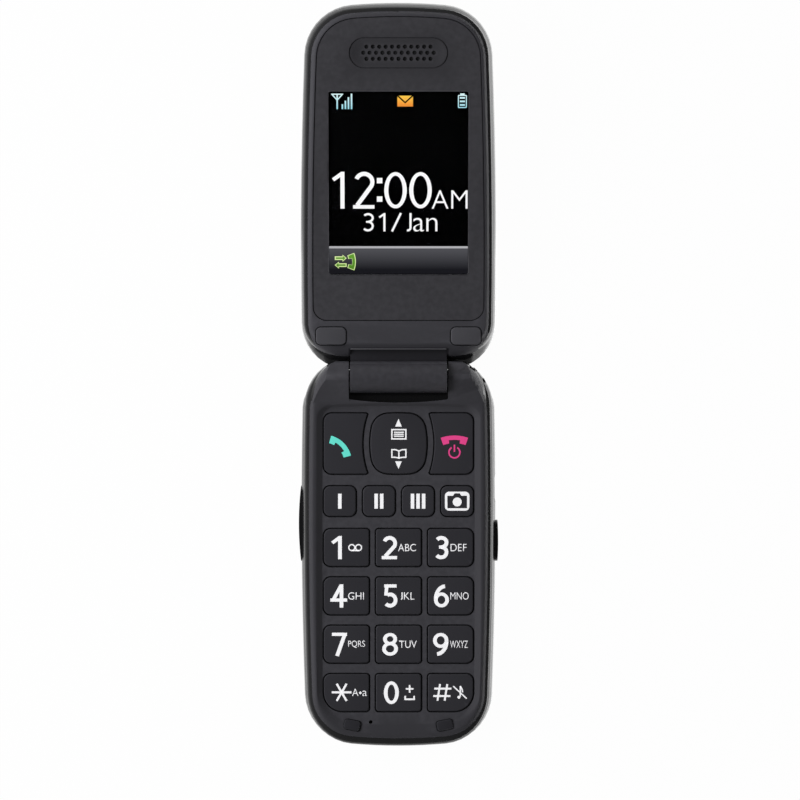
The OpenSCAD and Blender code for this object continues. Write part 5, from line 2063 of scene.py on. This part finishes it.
@dataclass
class Studio:
    """Pale floor, soft light and a camera straight above, framed for an 800 by 800 picture."""

    camera_at: Vector
    focal: float = 131.7
    floor_drop: float = 0.05 * MM
    floor_half: float = 4.0
    paper: Colour = (0.85, 0.85, 0.85)
    paper_shine: float = 0.98
    shine_reach: Point = (-0.05, 0.05)
    floor_shine: Point = (0.62, 1.5)
    far_reach: Point = (0.05, 0.1)
    far_shine: float = 3.6
    corner_glow: float = 0.5
    corner_side: Point = (0.042, 0.05)
    corner_foot: Point = (0.047, 0.055)
    corner_head: Point = (0.08, 0.09)
    sky_ends: Point = (0.24, 0.4)
    sky_sides: Point = (1.15, 0.55)
    sky_top: float = 0.2
    lamp_at: Vector = field(default_factory=lambda: Vector((-0.54, 0.14, 0.4)))
    lamp_aim: Vector = field(default_factory=lambda: Vector((0, 0.048, 0.012)))
    lamp_size: Point = (0.5, 0.5)
    lamp_watts: float = 4.3

    def floor(self) -> None:
        """Lay the floor: white to the eye and in reflections, with the object's shadow still on it."""
        bpy.ops.object.select_all(action="DESELECT")
        bpy.ops.mesh.primitive_plane_add(size=2 * self.floor_half)
        piece = bpy.context.object
        piece.name = "studio_floor"
        place(piece, Matrix.Translation((0, 0, -self.floor_drop)))
        with EditMode(piece):
            bpy.ops.mesh.subdivide(number_cuts=3)
        sheet = Sheet("studio_paper")
        sheet.tree.nodes.remove(sheet.shader)
        paper = sheet.add("BsdfDiffuse", {"Color": self.paper})
        path = sheet.add("LightPath")
        parts = sheet.add("SeparateXYZ", {"Vector": sheet.add("TexCoord").outputs["Object"]}).outputs
        shine = sheet.span(parts["X"], *self.shine_reach, *self.floor_shine)
        shine = sheet.math("ADD", shine, sheet.span(parts["X"], *self.far_reach, 0.0, self.far_shine))
        across = sheet.math("ABSOLUTE", parts["X"], 0.0)
        beside = sheet.span(across, *self.corner_side, self.corner_glow, 0.0)
        beside = sheet.math("MULTIPLY", beside, sheet.span(parts["Y"], *self.corner_foot, 0.0, 1.0))
        beside = sheet.math("MULTIPLY", beside, sheet.span(parts["Y"], *self.corner_head, 1.0, 0.0))
        shine = sheet.math("ADD", shine, beside)
        strength = sheet.span(path.outputs["Is Camera Ray"], 0.0, 1.0, shine, 1.0)
        white = sheet.add("Emission", {"Color": (1.0, 1.0, 1.0), "Strength": strength})
        seen = sheet.math("MAXIMUM", path.outputs["Is Camera Ray"], path.outputs["Is Glossy Ray"])
        seen = sheet.math("MAXIMUM", seen, path.outputs["Is Transmission Ray"])
        mixed = sheet.add("MixShader", {"Fac": sheet.math("MULTIPLY", seen, self.paper_shine)})
        sheet.feed(mixed.inputs[1], paper.outputs[0])
        sheet.feed(mixed.inputs[2], white.outputs[0])
        out = next(node for node in sheet.tree.nodes if node.type == "OUTPUT_MATERIAL")
        sheet.feed(out.inputs["Surface"], mixed.outputs[0])
        piece.data.materials.append(sheet.material)
        piece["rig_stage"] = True

    def sky(self) -> None:
        """Surround the scene with a soft light, dim overhead and dimmer from the base's end."""
        world = bpy.data.worlds.new("studio_sky")
        bpy.context.scene.world = world
        world.use_nodes = True
        world.node_tree.nodes.clear()
        tree = Tree(world.node_tree)
        direction = tree.add("TexCoord").outputs["Generated"]
        parts = tree.add("SeparateXYZ", {"Vector": direction}).outputs
        level = tree.span(parts["Y"], -0.7, 0.9, *self.sky_ends)
        level = tree.math("MULTIPLY", level, tree.span(parts["X"], -0.7, 0.7, *self.sky_sides))
        level = tree.math("MULTIPLY", level, tree.span(parts["Z"], 0.7, 0.95, 1.0, self.sky_top))
        glow = tree.add("Background", {"Color": (1.0, 1.0, 1.0), "Strength": level})
        white = tree.add("Background", {"Color": (1.0, 1.0, 1.0), "Strength": 1.0})
        eye = tree.add("LightPath").outputs["Is Camera Ray"]
        mixed = tree.add("MixShader", {"Fac": eye})
        tree.feed(mixed.inputs[1], glow.outputs[0])
        tree.feed(mixed.inputs[2], white.outputs[0])
        tree.add("OutputWorld", {"Surface": mixed.outputs[0]})

    def lamp(self) -> None:
        """Hang a soft rectangular lamp, as if filtered so that it leaves no mirror image."""
        light = bpy.data.lights.new("left_softbox", "AREA")
        light.shape = "RECTANGLE"
        light.size, light.size_y = self.lamp_size
        light.energy = self.lamp_watts
        lamp = bpy.data.objects.new("left_softbox", light)
        bpy.context.scene.collection.objects.link(lamp)
        lamp.visible_glossy = False
        lamp.location = self.lamp_at
        lamp.rotation_euler = (self.lamp_aim - self.lamp_at).to_track_quat("-Z", "Y").to_euler()

    def build(self) -> None:
        """Set up the floor, the light and the camera."""
        self.floor()
        self.sky()
        self.lamp()
        camera = bpy.data.cameras.new("studio_camera")
        camera.lens = self.focal
        camera.sensor_width = 36.0
        camera.clip_start, camera.clip_end = 0.05, 20.0
        holder = bpy.data.objects.new("studio_camera", camera)
        bpy.context.scene.collection.objects.link(holder)
        holder.location = self.camera_at
        bpy.context.scene.camera = holder
        bpy.context.scene.view_settings.view_transform = "Standard"


def main() -> None:
    """Build the phone's pieces in order, then the studio, and note the sizes."""
    logging.basicConfig(level=logging.INFO, format="%(message)s")
    plane = LidPlane()
    KeyCaps().build()
    DisplayScreen(plane).build()
    Casings(plane).build()
    PaintedLines(plane).build()
    KeyMat().build()
    InnerParts().build()
    camera_at = Vector((0.41 * MM, plane.axis().y - 6.28 * MM, 811 * MM))
    Studio(camera_at).build()


if __name__ == "__main__":
    main()
